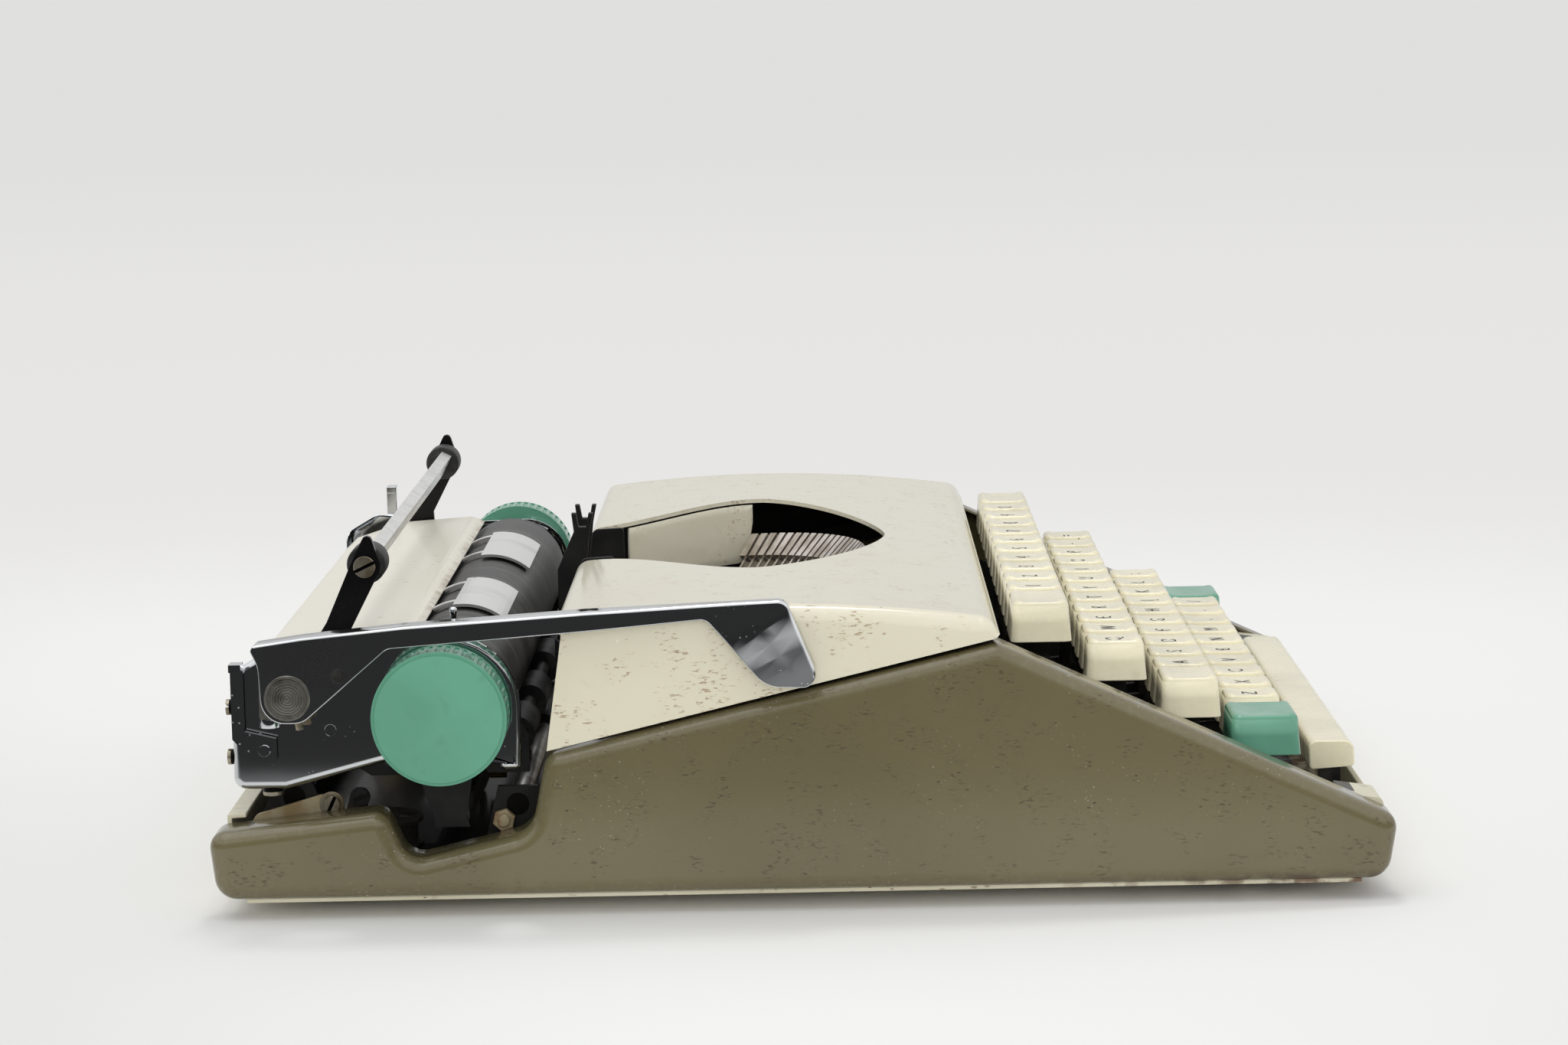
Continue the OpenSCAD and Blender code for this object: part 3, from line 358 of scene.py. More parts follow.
@dataclass(frozen=True)
class DullMetal(Finish):
    """Plain or blackened steel with mottling, oil and rust."""

    mottle: Colour
    rusty: float
    rust: Colour = (0.4, 0.22, 0.1)
    grain: Triple = (1.0, 1.0, 1.0)
    metal: float = 0.9
    # painted shade: beyond this distance from the middle along X the metal is painted near-black
    ends: float = 1.0

    def paint(self, graph: Graph) -> None:
        """Two tones of metal, streaked along the grain, with rust in patches; slot bottoms and the metal beyond ends
        from the middle are painted near-black as shade.
        """
        tone = graph.noise(7 * MM, 5.0)
        streak = graph.noise(0.9 * MM, 3.0, graph.stretched(self.grain))
        colour = graph.mix(tone.step(0.4, 0.66), self.colour, self.mottle)
        patch = graph.noise(11 * MM, 6.0).step(0.68 - 0.2 * self.rusty, 0.8)
        rust = patch * graph.noise(1.6 * MM, 4.0).step(0.35, 0.6)
        colour = graph.mix(rust * min(1.0, 4 * self.rusty), colour, self.rust)
        # Painted shade: the bottoms of screw slots and the metal beyond ends are painted near-black.
        x = graph.axis("X")
        dark = graph.attribute("slot").larger((x * x).step((self.ends - MM) ** 2, self.ends ** 2))
        colour = graph.mix(dark, colour, (0.06, 0.055, 0.05))
        rough = self.roughness + 0.18 * tone + 0.1 * streak + 0.3 * rust
        normal = graph.bump(streak * 0.4 + rust * 0.6, 0.2, 0.1 * MM)
        graph.surface(colour, rough, normal, Metallic=self.metal - self.metal * 0.8 * rust)


@dataclass(frozen=True)
class TurnedMetal(Finish):
    """Metal faced on a lathe, with rings about an axis along X."""

    centre: Pair
    pitch: float = 0.7 * MM

    def paint(self, graph: Graph) -> None:
        """Rings come from the sine of the distance to the axis."""
        y = graph.axis("Y") - self.centre[0]
        z = graph.axis("Z") - self.centre[1]
        radius = (y * y + z * z) ** 0.5
        ring = (radius * (math.tau / self.pitch) + graph.noise(3 * MM, 3.0) * 5.0).wave()
        tone = graph.noise(4 * MM, 4.0)
        colour = graph.mix(tone.step(0.35, 0.7), self.colour, (0.34, 0.33, 0.3))
        colour = graph.mix(ring.step(0.2, 1.0) * 0.45, colour, (0.72, 0.71, 0.68))
        normal = graph.bump(ring, 0.2, 0.1 * MM)
        graph.surface(colour, self.roughness + 0.15 * tone, normal, Metallic=0.92)


@dataclass(frozen=True)
class ScaleSteel(Finish):
    """Steel with the ticks of a scale along X."""

    middle: Pair
    lean: float = math.radians(26)
    pitch: float = 2.54 * MM
    reach: float = 108 * MM
    arms: float = 119 * MM

    def paint(self, graph: Graph) -> None:
        """Ticks stand where the sine along X peaks, on the bar's upper half; beyond arms the metal is blackened."""
        x = graph.axis("X")
        up = (graph.axis("Z") - self.middle[1]) * math.cos(self.lean)
        up = up - (graph.axis("Y") - self.middle[0]) * math.sin(self.lean)
        inside = (x * x).step(self.reach ** 2, (self.reach - MM) ** 2)
        tick = (x * (math.tau / self.pitch)).wave().step(0.86, 0.94) * up.step(0.6 * MM, 0.8 * MM) * inside
        tone = graph.noise(6 * MM, 5.0)
        colour = graph.mix(tone.step(0.4, 0.66) * 0.5, self.colour, (0.76, 0.75, 0.73))
        colour = graph.mix(tick * 0.3, colour, (0.1, 0.1, 0.1))
        arm = (x * x).step((self.arms - MM) ** 2, self.arms ** 2)
        colour = graph.mix(arm, colour, (0.085, 0.085, 0.085))
        rough = self.roughness + 0.15 * tone
        graph.surface(colour, rough, graph.bump(tone, 0.1, 0.1 * MM), Metallic=0.45 - 0.3 * tick)


@dataclass(frozen=True)
class MouldedPlastic(Finish):
    """Moulded plastic, handled and a little soiled."""

    soiled: float
    soil: Colour = (0.55, 0.47, 0.36)

    def paint(self, graph: Graph) -> None:
        """Even colour with yellowing, soil in smears and fine scratches."""
        tone = graph.noise(30 * MM, 3.0)
        smear = graph.noise(6 * MM, 6.0)
        speck = graph.specks(2.2 * MM, 0.03 * self.soiled, 0.2)
        deeper = tuple(c * 0.93 for c in self.colour)
        colour = graph.mix(tone.step(0.35, 0.7), self.colour, deeper)
        soil = (smear.step(0.56, 0.8) * self.soiled).larger(speck)
        colour = graph.mix(soil, colour, self.soil)
        edge = graph.attribute("edge") * 0.06
        colour = graph.mix(edge, colour, self.soil)
        scratch = graph.noise(0.8 * MM, 3.0, graph.stretched((1.0, 0.15, 1.0)))
        rough = self.roughness + 0.12 * smear.step(0.4, 0.7) + 0.1 * scratch
        normal = graph.bump(graph.noise(5 * MM, 1.0), 0.06, 0.25 * MM)
        graph.surface(colour, rough, normal, Coat_Weight=0.5, Coat_Roughness=0.06)


@dataclass(frozen=True)
class Rubber(Finish):
    """Rubber with a bloom and faint bands along X."""

    bloom: Colour = (0.34, 0.34, 0.33)
    bands: float = 0.0

    def paint(self, graph: Graph) -> None:
        """Dark rubber; the bands are noise that changes only along X."""
        bloom = graph.noise(5 * MM, 5.0)
        colour = graph.mix(bloom.step(0.45, 0.75) * 0.5, self.colour, self.bloom)
        band = graph.noise(5 * MM, 2.0, graph.stretched((1.0, 0.02, 0.02)))
        colour = graph.mix(band.step(0.52, 0.66) * self.bands, colour, self.bloom)
        grain = graph.noise(0.5 * MM, 2.0)
        rough = self.roughness + 0.15 * bloom
        graph.surface(colour, rough, graph.bump(grain, 0.12, 0.1 * MM))


@dataclass(frozen=True)
class InkedCloth(Finish):
    """Woven ribbon with ink."""

    thread: float = 0.35 * MM

    def paint(self, graph: Graph) -> None:
        """A plain weave from two crossing sines."""
        across, up = ((graph.axis(name) * (math.tau / self.thread)).wave() for name in "XZ")
        weave = across * up
        colour = graph.mix(weave.step(-0.6, 0.9) * 0.3, self.colour, (0.2, 0.2, 0.22))
        graph.surface(colour, self.roughness, graph.bump(weave, 0.3, 0.05 * MM))


OLIVE = Enamel("olive_enamel", (0.425, 0.395, 0.282), 0.17, shade=(0.395, 0.365, 0.254), scuff=(0.72, 0.7, 0.62),
               scuffs=0.2, rusty=0.03, wear=0.06, foot=5.6 * MM, peel=0.05, coat=0.45, flecks=0.7)
CREAM = Enamel("cream_enamel", (0.885, 0.865, 0.78), 0.2, shade=(0.868, 0.845, 0.75), scuff=(0.97, 0.96, 0.92),
               rust=(0.55, 0.4, 0.25), scuffs=0.01, rusty=0.03, wear=0.05, peel=0.004, coat=0.45, flecks=0.75)
TABLE_CREAM = Enamel("table_enamel", (0.92, 0.905, 0.85), 0.34, shade=(0.9, 0.88, 0.815), scuff=(0.95, 0.94, 0.9),
                     rust=(0.46, 0.3, 0.16), scuffs=0.03, rusty=0.05, wear=0.2, peel=0.05,
                     stain=(104.5 * MM, 102.4 * MM))
# PAN_CREAM's inside bounds the painted shade in the pan's interior
PAN_CREAM = Enamel("pan_enamel", (0.86, 0.84, 0.75), 0.4, shade=(0.8, 0.775, 0.67), scuff=(0.93, 0.92, 0.88),
                   rust=(0.38, 0.22, 0.11), scuffs=0.05, rusty=0.12, wear=0.3, peel=0.05, foot=5.0 * MM,
                   inside=(131 * MM, 146 * MM, 4.8 * MM))
KEY_CREAM = MouldedPlastic("key_plastic", (0.96, 0.93, 0.805), 0.2, soiled=0.22)
SEA_GREEN = MouldedPlastic("green_plastic", (0.395, 0.655, 0.545), 0.3, soil=(0.2, 0.33, 0.27), soiled=0.2)
CHROME = PolishedMetal("chrome", (0.86, 0.87, 0.88), 0.06, pits=0.14)
LEVER_CHROME = PolishedMetal("lever_chrome", (0.88, 0.89, 0.9), 0.07, pits=0.3)
BAIL_STEEL = ScaleSteel("bail_steel", (0.9, 0.9, 0.89), 0.2, middle=(114.3 * MM, 89.8 * MM))
BLACK_STEEL = DullMetal("black_steel", (0.075, 0.075, 0.075), 0.42, mottle=(0.12, 0.118, 0.112), rusty=0.1, metal=0.25)
DARK_STEEL = DullMetal("dark_steel", (0.2, 0.2, 0.195), 0.3, mottle=(0.34, 0.335, 0.32), rusty=0.12, metal=0.8)
# GROUND_STEEL's rods are painted near-black as shade beyond 133.6 mm from the middle
GROUND_STEEL = DullMetal("ground_steel", (0.72, 0.72, 0.71), 0.2, mottle=(0.6, 0.59, 0.57), rusty=0.1,
                         grain=(0.05, 1.0, 1.0), ends=133.6 * MM)
PLATED_STEEL = DullMetal("plated_steel", (0.52, 0.51, 0.48), 0.32, mottle=(0.4, 0.39, 0.35), rusty=0.2)
SCREW_NICKEL = DullMetal("screw_nickel", (0.7, 0.67, 0.6), 0.25, mottle=(0.52, 0.47, 0.38), rusty=0.3)
RUSTED_PLATE = DullMetal("rusted_plate", (0.72, 0.67, 0.55), 0.38, mottle=(0.62, 0.54, 0.4), rusty=0.6,
                         rust=(0.47, 0.26, 0.1), metal=0.6)
TYPE_STEEL = DullMetal("type_steel", (0.86, 0.83, 0.8), 0.2, mottle=(0.68, 0.64, 0.59), rusty=0.15)
BRASS = DullMetal("dull_brass", (0.66, 0.57, 0.36), 0.3, mottle=(0.5, 0.42, 0.27), rusty=0.12)
BOSS_NICKEL = TurnedMetal("turned_nickel", (0.55, 0.54, 0.51), 0.3, centre=(132.1 * MM, 60.2 * MM))
PLATE_BRIGHT = PolishedMetal("bright_plate", (0.93, 0.93, 0.92), 0.3, pits=0.03, rusty=0.01)
PLATEN_RUBBER = Rubber("platen_rubber", (0.2, 0.2, 0.198), 0.42, bloom=(0.36, 0.355, 0.345), bands=0.55)
ROLLER_RUBBER = Rubber("roller_rubber", (0.13, 0.13, 0.127), 0.5)
FOOT_RUBBER = Rubber("foot_rubber", (0.1, 0.1, 0.098), 0.7)
RIBBON_INK = InkedCloth("ribbon_ink", (0.07, 0.07, 0.08), 0.8)
LEGEND_INK = Rubber("legend_ink", (0.14, 0.16, 0.19), 0.5, bloom=(0.2, 0.22, 0.25))


def linked(name: str, data: bpy.types.ID) -> bpy.types.Object:
    """Makes an object of a mesh, letter, light or camera and links it to the scene."""
    made = bpy.data.objects.new(name, data)
    bpy.context.scene.collection.objects.link(made)
    return made


def new_piece(name: str, points: np.ndarray, faces: Sequence[Sequence[int]], finish: Finish, body: str,
              smooth: bool = True) -> bpy.types.Object:
    """Makes an object from points and faces and lets it ride on a body.

    Args:
        name: the piece's name.
        points: an array of N points, in metres.
        faces: the faces' corner numbers.
        finish: the piece's finish.
        body: the body that carries it.
        smooth: whether its faces are shaded smooth.

    Returns:
        The object.
    """
    mesh = bpy.data.meshes.new(name)
    mesh.from_pydata(np.asarray(points, float).reshape(-1, 3).tolist(), [], [list(f) for f in faces])
    mesh.polygons.foreach_set("use_smooth", np.full(len(mesh.polygons), smooth))
    mesh.materials.append(finish.material())
    mesh.update()
    piece = linked(name, mesh)
    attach(piece, body)
    LOG.info("piece %s on %s: %d faces", name, body, len(mesh.polygons))
    return piece


def grid_faces(rows: int, columns: int, wrap: bool = False) -> np.ndarray:
    """Quads of a grid of points, row by row.

    Args:
        rows: number of rows.
        columns: number of points in a row.
        wrap: whether the last column joins the first.

    Returns:
        An array of corner numbers, four to a face.
    """
    r = np.arange(rows - 1)[:, None]
    c = np.arange(columns if wrap else columns - 1)[None, :]
    nxt = (c + 1) % columns
    quads = np.stack([r * columns + c, r * columns + nxt, (r + 1) * columns + nxt, (r + 1) * columns + c], -1)
    return quads.reshape(-1, 4)


class Surface:
    """Grids of points gathered into one mesh, with a number for each point."""

    def __init__(self) -> None:
        """Starts with no points."""
        self.points: list[np.ndarray] = []
        self.faces: list[list[int]] = []
        self.marks: list[np.ndarray] = []
        self.count = 0

    def add(self, grid: np.ndarray, first: bool = True, last: bool = True, flip: bool = False,
            mark: Union[float, np.ndarray] = 0.0) -> "Surface":
        """Adds rings of points, each joined to the next.

        Args:
            grid: rings by points by X, Y and Z, in millimetres.
            first: whether a face closes the first ring.
            last: whether a face closes the last ring.
            flip: whether the faces are turned over.
            mark: the points' number, such as their wear, or 1 for the bottom of a slot, which DullMetal paints
                near-black as painted shade.

        Returns:
            The surface itself.
        """
        rings, around = grid.shape[:2]
        faces = grid_faces(rings, around, True).tolist()
        if first:
            faces.append(list(range(around))[::-1])
        if last:
            faces.append(list(range((rings - 1) * around, rings * around)))
        self.faces += [[i + self.count for i in (f[::-1] if flip else f)] for f in faces]
        self.points.append(grid.reshape(-1, 3))
        self.marks.append(np.broadcast_to(mark, (rings, around)).ravel())
        self.count += rings * around
        return self

    def piece(self, name: str, finish: Finish, body: str, slot: str, smooth: bool = True,
              mark: str = "slot") -> bpy.types.Object:
        """Makes the object.

        Args:
            name: the piece's name.
            finish: its finish.
            body: the body that carries it.
            slot: not used.
            smooth: whether its faces are shaded smooth.
            mark: the attribute that takes the points' numbers.

        Returns:
            The object.
        """
        made = new_piece(name, np.concatenate(self.points) * MM, self.faces, finish, body, smooth)
        set_attribute(made, mark, np.concatenate(self.marks))
        return made


@dataclass(frozen=True)
class Seat:
    """A place on the machine with its own axes: across, up and out of the face."""

    at: Triple = (0.0, 0.0, 0.0)
    out: Triple = (-1.0, 0.0, 0.0)
    up: Triple = (0.0, 0.0, 1.0)

    def put(self, across: np.ndarray, up: np.ndarray, out: np.ndarray) -> np.ndarray:
        """Points from their distances along the three axes."""
        w, v = np.array(self.out), np.array(self.up)
        u = np.cross(v, w)
        return np.array(self.at) + across[..., None] * u + up[..., None] * v + out[..., None] * w

    def lathe(self, profile: Sequence[Pair], count: int = 40) -> np.ndarray:
        """Rings turned about the out axis: each has a radius and a height."""
        p = np.asarray(profile, float)
        angle = np.linspace(0, 2 * np.pi, count, endpoint=False)
        radius, height = p[:, :1], np.repeat(p[:, 1:], count, 1)
        return self.put(radius * np.cos(angle), radius * np.sin(angle), height)

    def prism(self, outline: np.ndarray, low: float, high: float, edge: float) -> np.ndarray:
        """Rings of an upright prism over an outline, with its top edge taken off."""
        middle = outline.mean(0)
        size = np.abs(outline - middle).max()
        scale = np.array([1.0, 1.0, 1.0 - edge / size])
        height = np.array([low, high - edge, high])
        flat = middle + (outline - middle)[None] * scale[:, None, None]
        return self.put(flat[..., 0], flat[..., 1], np.repeat(height[:, None], len(outline), 1))

    def screw(self, surface: Surface, radius: float, height: float, slot_angle: float, slot: float = 0.8) -> None:
        """Adds a slotted head: a disc with a half disc on each side of the slot.

        Args:
            surface: the surface that takes it.
            radius: the head's radius.
            height: the head's height.
            slot_angle: the slot's turn about the out axis, in degrees.
            slot: the slot's width.
        """
        floor = height * 0.45
        # mark 1 has DullMetal paint the slot's bottom near-black, as painted shade
        surface.add(self.lathe([(radius - 0.05, -0.4), (radius - 0.05, floor)], 32), mark=1.0)
        first = math.asin(slot / 2 / radius)
        angle = np.linspace(first, np.pi - first, 18)
        for turn in (0.0, np.pi):
            way = angle + turn + math.radians(slot_angle)
            half = radius * np.stack([np.cos(way), np.sin(way)], -1)
            surface.add(self.prism(half, floor - 0.05, height, 0.2))


def set_attribute(piece: bpy.types.Object, name: str, values: np.ndarray) -> None:
    """Stores one number for each point of a piece."""
    layer = piece.data.attributes.new(name, "FLOAT", "POINT")
    layer.data.foreach_set("value", np.asarray(values, np.float32).ravel())


def weld(piece: bpy.types.Object, reach: float) -> None:
    """Joins points that are no further apart than reach metres."""
    piece.modifiers.new("weld", "WELD").merge_threshold = reach


def soften(piece: bpy.types.Object, width: float, segments: int = 3) -> None:
    """Rounds the sharp edges of a piece by width metres."""
    edge = piece.modifiers.new("soft_edges", "BEVEL")
    edge.width = width
    edge.segments = segments
    edge.limit_method = "ANGLE"
    edge.angle_limit = SHARP


def thicken(piece: bpy.types.Object, thickness: float, offset: float = -1.0, bevel: float = 0.0) -> None:
    """Gives a surface a wall, and rounds its edges if a bevel is asked for.

    Args:
        piece: the surface.
        thickness: wall thickness in metres.
        offset: -1 puts the wall behind the surface, 0 about it.
        bevel: radius of the edge in metres.
    """
    weld(piece, 0.01 * MM)
    wall = piece.modifiers.new("wall", "SOLIDIFY")
    wall.thickness = thickness
    wall.offset = offset
    if bevel:
        soften(piece, bevel)
    piece.modifiers.new("normals", "WEIGHTED_NORMAL")


def unit(v: np.ndarray) -> np.ndarray:
    """Vectors scaled to a length of one."""
    return v / np.linalg.norm(v, axis=-1, keepdims=True)


def rounded_outline(corners: Sequence[Sequence[float]], inset: float, steps: int) -> np.ndarray:
    """Closed outline with rounded corners, moved inwards.

    Each corner's arc is its centre plus its radius times a unit circle, swept from one edge's normal to the next.

    Args:
        corners: a place and a radius for each corner, anticlockwise.
        inset: how far inwards the outline moves.
        steps: steps in each arc.

    Returns:
        The points, corner after corner.
    """
    c = np.asarray(corners, float)
    p, r = c[:, :2], c[:, 2]
    back, ahead = np.roll(p, 1, 0) - p, np.roll(p, -1, 0) - p
    u, v = unit(back), unit(ahead)
    half = np.arccos(np.clip((u * v).sum(1), -1, 1)) / 2
    bend = np.sign(-back[:, 0] * ahead[:, 1] + back[:, 1] * ahead[:, 0])
    centre = p + unit(u + v) * (r / np.sin(half))[:, None]
    radius = r - bend * inset
    start = np.arctan2(bend * u[:, 0], -bend * u[:, 1])
    angle = start[:, None] + ((np.pi - 2 * half) * bend)[:, None] * np.linspace(0, 1, steps + 1)
    ring = np.stack([np.cos(angle), np.sin(angle)], -1)
    return (centre[:, None, :] + radius[:, None, None] * ring).reshape(-1, 2)


def from_left(corners: Sequence[Triple]) -> list[Triple]:
    """Corners given by Y, Z and radius, as an outline that is seen from the left."""
    return [(-y, z, r) for y, z, r in corners]


def ease(value: np.ndarray, start: float, end: float) -> np.ndarray:
    """Rises smoothly from 0 at start to 1 at end."""
    share = np.clip((value - start) / (end - start), 0, 1)
    return share * share * (3 - 2 * share)


def refine(outline: np.ndarray, step: float) -> np.ndarray:
    """Adds points to a closed outline, so that none is further than step from the next."""
    reach = np.roll(outline, -1, 0) - outline
    count = np.maximum(1, np.ceil(np.linalg.norm(reach, axis=1) / step).astype(int))
    place = np.arange(count.sum()) - np.repeat(np.cumsum(count) - count, count)
    share = place / np.repeat(count, count)
    return np.repeat(outline, count, 0) + np.repeat(reach, count, 0) * share[:, None]


def nearest(points: np.ndarray, line: np.ndarray, count: int) -> np.ndarray:
    """The nearest of count even stations on an open line to each of some points."""
    run = np.concatenate([[0.0], np.cumsum(np.linalg.norm(np.diff(line, axis=0), axis=1))])
    station = np.linspace(0, run[-1], count)
    places = np.stack([np.interp(station, run, line[:, 0]), np.interp(station, run, line[:, 1])], -1)
    return places[np.linalg.norm(points[:, None] - places, axis=-1).argmin(1)]


def outward(outline: np.ndarray) -> np.ndarray:
    """Unit vectors out of a closed anticlockwise outline, one for each of its points."""
    along = unit(np.roll(outline, -1, 0) - np.roll(outline, 1, 0))
    return np.stack([along[:, 1], -along[:, 0]], -1)


def rolled_edge(radius: float, flange: float, land: float) -> tuple[np.ndarray, np.ndarray]:
    """Rings of a rolled edge: a quarter circle between a flange and a flat face.

    Args:
        radius: the roll's radius.
        flange: depth of the first ring.
        land: how far past the roll the last ring lies.

    Returns:
        How far in and how deep each ring lies.
    """
    turn = np.linspace(0, np.pi / 2, 7)
    inset = np.concatenate([[0.0], radius * (1 - np.cos(turn)), [radius + land]])
    return inset, np.concatenate([[flange], radius * (1 - np.sin(turn)), [0.0]])


def carried(x: Sequence[float], section: np.ndarray, scale: Sequence[float]) -> np.ndarray:
    """Rings of a section carried along X, each scaled about the section's middle.

    Args:
        x: the rings' places.
        section: Y and Z of the section's points.
        scale: the rings' scales.

    Returns:
        Rings by points by X, Y and Z.
    """
    middle = section.mean(0)
    yz = middle + (section - middle) * np.asarray(scale)[:, None, None]
    return np.dstack([np.broadcast_to(np.asarray(x)[:, None], yz.shape[:2]), yz])


def dress(node: str, finish: Finish, bevel: float) -> None:
    """Gives a solid its finish and softens its edges.

    Args:
        node: the solid's name.
        finish: its finish.
        bevel: edge radius in millimetres, 0 for none.
    """
    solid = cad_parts[node]
    solid.data.materials.clear()
    solid.data.materials.append(finish.material())
    weld(solid, 0.005 * MM)
    if bevel:
        soften(solid, bevel * MM, 2)
    LOG.info("solid %s in %s", node, finish.name)


@dataclass
class SidePanels:
    """The two pressed side panels, as lofts of one rounded outline."""

    half_w: float = 150.0
    half_d: float = 155.0
    lower: float = 5.5
    peak: float = 69.7
    rim: float = 13.0
    edge: float = 4.0
    sheet: float = 1.2
    corner_steps: int = 10
    edge_steps: int = 8

    def corners(self) -> list[Triple]:
        """Corners of the outline: Y, Z and radius, in millimetres."""
        return [(-self.half_d + 2.2, self.lower, 6.0), (self.half_d - 1.6, self.lower, 6.0),
                (self.half_d + 0.46, 23.4, 4.6), (108.9, 28.4, 4.6), (103.0, 14.8, 6.0), (70.6, 22.4, 8.0),
                (66.4, 42.6, 4.6), (-51.4, self.peak, 5.0), (-self.half_d - 0.6, 21.6, 5.0)]

    def build(self, side: Side) -> None:
        """Makes one panel: rings from the rim round the edge to the flat face.

        Args:
            side: which end of the machine.
        """
        turn = np.linspace(0, np.pi / 2, self.edge_steps)
        x = np.concatenate([[self.half_w - self.rim], self.half_w - self.edge + self.edge * np.sin(turn),
                            [self.half_w]])
        inset = np.concatenate([[0.0], self.edge * (1 - np.cos(turn)), [self.edge + 0.5]])
        wear = np.concatenate([[0.3], np.sin(2 * turn) ** 0.7, [0.0]])
        rings = np.stack([rounded_outline(self.corners(), i, self.corner_steps) for i in inset])
        grid = np.dstack([np.broadcast_to(side.value * x[:, None], rings.shape[:2]), rings])
        panel = Surface().add(grid, first=False, flip=side is Side.LEFT, mark=wear[:, None])
        name = "side_panel_" + side.word
        piece = panel.piece(name + "_sheet", OLIVE, "chassis", "olive_enamel", mark="edge")
        thicken(piece, self.sheet * MM)
        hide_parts(name)


@dataclass
class RibbonCover:
    """The lift-off cover, as one sheet carried along its top line."""

    half_w: float = 147.0
    top: float = 79.5
    sheet: float = 1.2
    edge: float = 3.2
    nose: float = 4.3
    corner: float = 3.0
    end_steps: int = 8
    nose_steps: int = 12
    rear: Pair = (66.1, 43.5)
    front: Pair = (-51.5, 70.9)
    side_rear: float = 62.2
    top_rear: float = 59.83
    top_front: float = -47.0
    rear_lean: float = 0.119
    nose_end: float = math.radians(172)
    crown_y: float = 12.0
    crown_r: float = 420.0
    half_open: float = 76.5
    open_front: float = 37.0
    neck: float = 36.0
    neck_run: float = 50.0
    skirt: float = 18.0
    skirt_y: Pair = (15.0, 52.0)
    skirt_round: float = 5.0
    skirt_sheet: float = 1.1

    def opening(self, y: np.ndarray) -> np.ndarray:
        """Half width of the opening at each Y: a blunt arch in front, a smooth neck behind."""
        reach = np.clip((self.crown_y - y) / self.open_front, 0, 1)
        arch = self.half_open * (1 - reach ** 1.5) ** (1 / 1.5)
        fade = (1 - np.cos(np.pi * np.clip((y - self.crown_y) / self.neck_run, 0, 1))) / 2
        return np.where(y < self.crown_y, arch, self.half_open - (self.half_open - self.neck) * fade)

    def height(self, y: np.ndarray) -> np.ndarray:
        """Height of the top line: crowned, falling with the square of the distance from its highest place."""
        return self.top - (y - self.crown_y) ** 2 / (2 * self.crown_r)

    def top_line(self) -> np.ndarray:
        """Y and Z along the cover's middle, from the rear edge over the top to the front edge."""
        arch = self.crown_y - self.open_front * np.sin(np.linspace(0, np.pi / 2, 30))
        y = np.concatenate([np.linspace(self.top_rear, self.crown_y + 1.5, 26), arch,
                            np.linspace(arch[-1] - 1.5, self.top_front, 9)])
        line = np.stack([y, self.height(y)], -1)
        lean = math.pi / 2 - math.atan((self.top_rear - self.crown_y) / self.crown_r)
        hub = line[0] - self.corner * np.array([math.cos(lean), math.sin(lean)])
        angle = np.linspace(self.rear_lean, lean, self.end_steps + 1)[:-1]
        rear = hub + self.corner * np.stack([np.cos(angle), np.sin(angle)], -1)
        slope = math.atan((self.crown_y - self.top_front) / self.crown_r)
        centre = line[-1] + self.nose * np.array([math.sin(slope), -math.cos(slope)])
        angle = np.linspace(np.pi / 2 + slope, self.nose_end, self.nose_steps)[1:]
        front = centre + self.nose * np.stack([np.cos(angle), np.sin(angle)], -1)
        return np.concatenate([rear, line, front, [self.front]])

    def build(self) -> None:
        """Makes the cover: side faces, rounded shoulders and the top out to the opening's edge."""
        line = self.top_line()
        way = unit(np.gradient(line, axis=0))
        inward = np.stack([-way[:, 1], way[:, 0]], -1)
        taper = np.ones(len(line))
        taper[:self.end_steps] = np.linspace(0.3, 1.0, self.end_steps, endpoint=False)
        taper[-self.nose_steps:] = np.linspace(0.95, 0.06, self.nose_steps)
        edge = self.edge * taper[:, None]
        shoulder = line + inward * edge
        share = np.clip((self.side_rear - line[:, 0]) / (self.side_rear - self.front[0]), 0, 1)[:, None]
        lower = np.array(self.rear) * (1 - share) + np.array(self.front) * share
        up = np.array([0.0, 0.015, 0.2, 0.4, 0.6, 0.8])
        side = lower[:, None] + (shoulder - lower)[:, None] * up[None, :, None]
        turn = np.linspace(0, np.pi / 2, 9)
        bend = line[:, None] + inward[:, None] * (edge * (1 - np.sin(turn)))[..., None]
        across = np.linspace(0, 1, 26)[1:]
        yz = np.concatenate([side, bend, np.repeat(line[:, None], len(across), 1)], 1)
        shoulder_x = self.half_w - edge
        inner = self.opening(line[:, 0])
        x = np.concatenate([np.full(side.shape[:2], self.half_w), shoulder_x + edge * np.cos(turn),
                            shoulder_x + (inner[:, None] - shoulder_x) * across], 1)
        wear, rim = np.zeros(x.shape), np.zeros(x.shape)
        wear[:, len(up):len(up) + len(turn)] = np.sin(2 * turn) ** 0.7
        rim[:, -1] = np.where(inner > 1, 0.2, 0)
        rim[:, 0] = 0.6
        faces = grid_faces(*x.shape)
        both = np.concatenate([faces, faces[:, ::-1] + x.size])
        points = np.stack([np.dstack([-x, yz]), np.dstack([x, yz])]) * MM
        piece = new_piece("cover_sheet", points, both, CREAM, "cover")
        set_attribute(piece, "edge", np.tile(wear.ravel(), 2))
        set_attribute(piece, "rim", np.tile(rim.ravel(), 2))
        thicken(piece, self.sheet * MM, bevel=0.3 * MM)
        piece.data.materials.clear()
        piece.data.materials.append(BLACK_STEEL.material())
        piece.data.materials.append(CREAM.material())
        wall = piece.modifiers["wall"]
        wall.material_offset = wall.material_offset_rim = 1
        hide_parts("ribbon_cover")

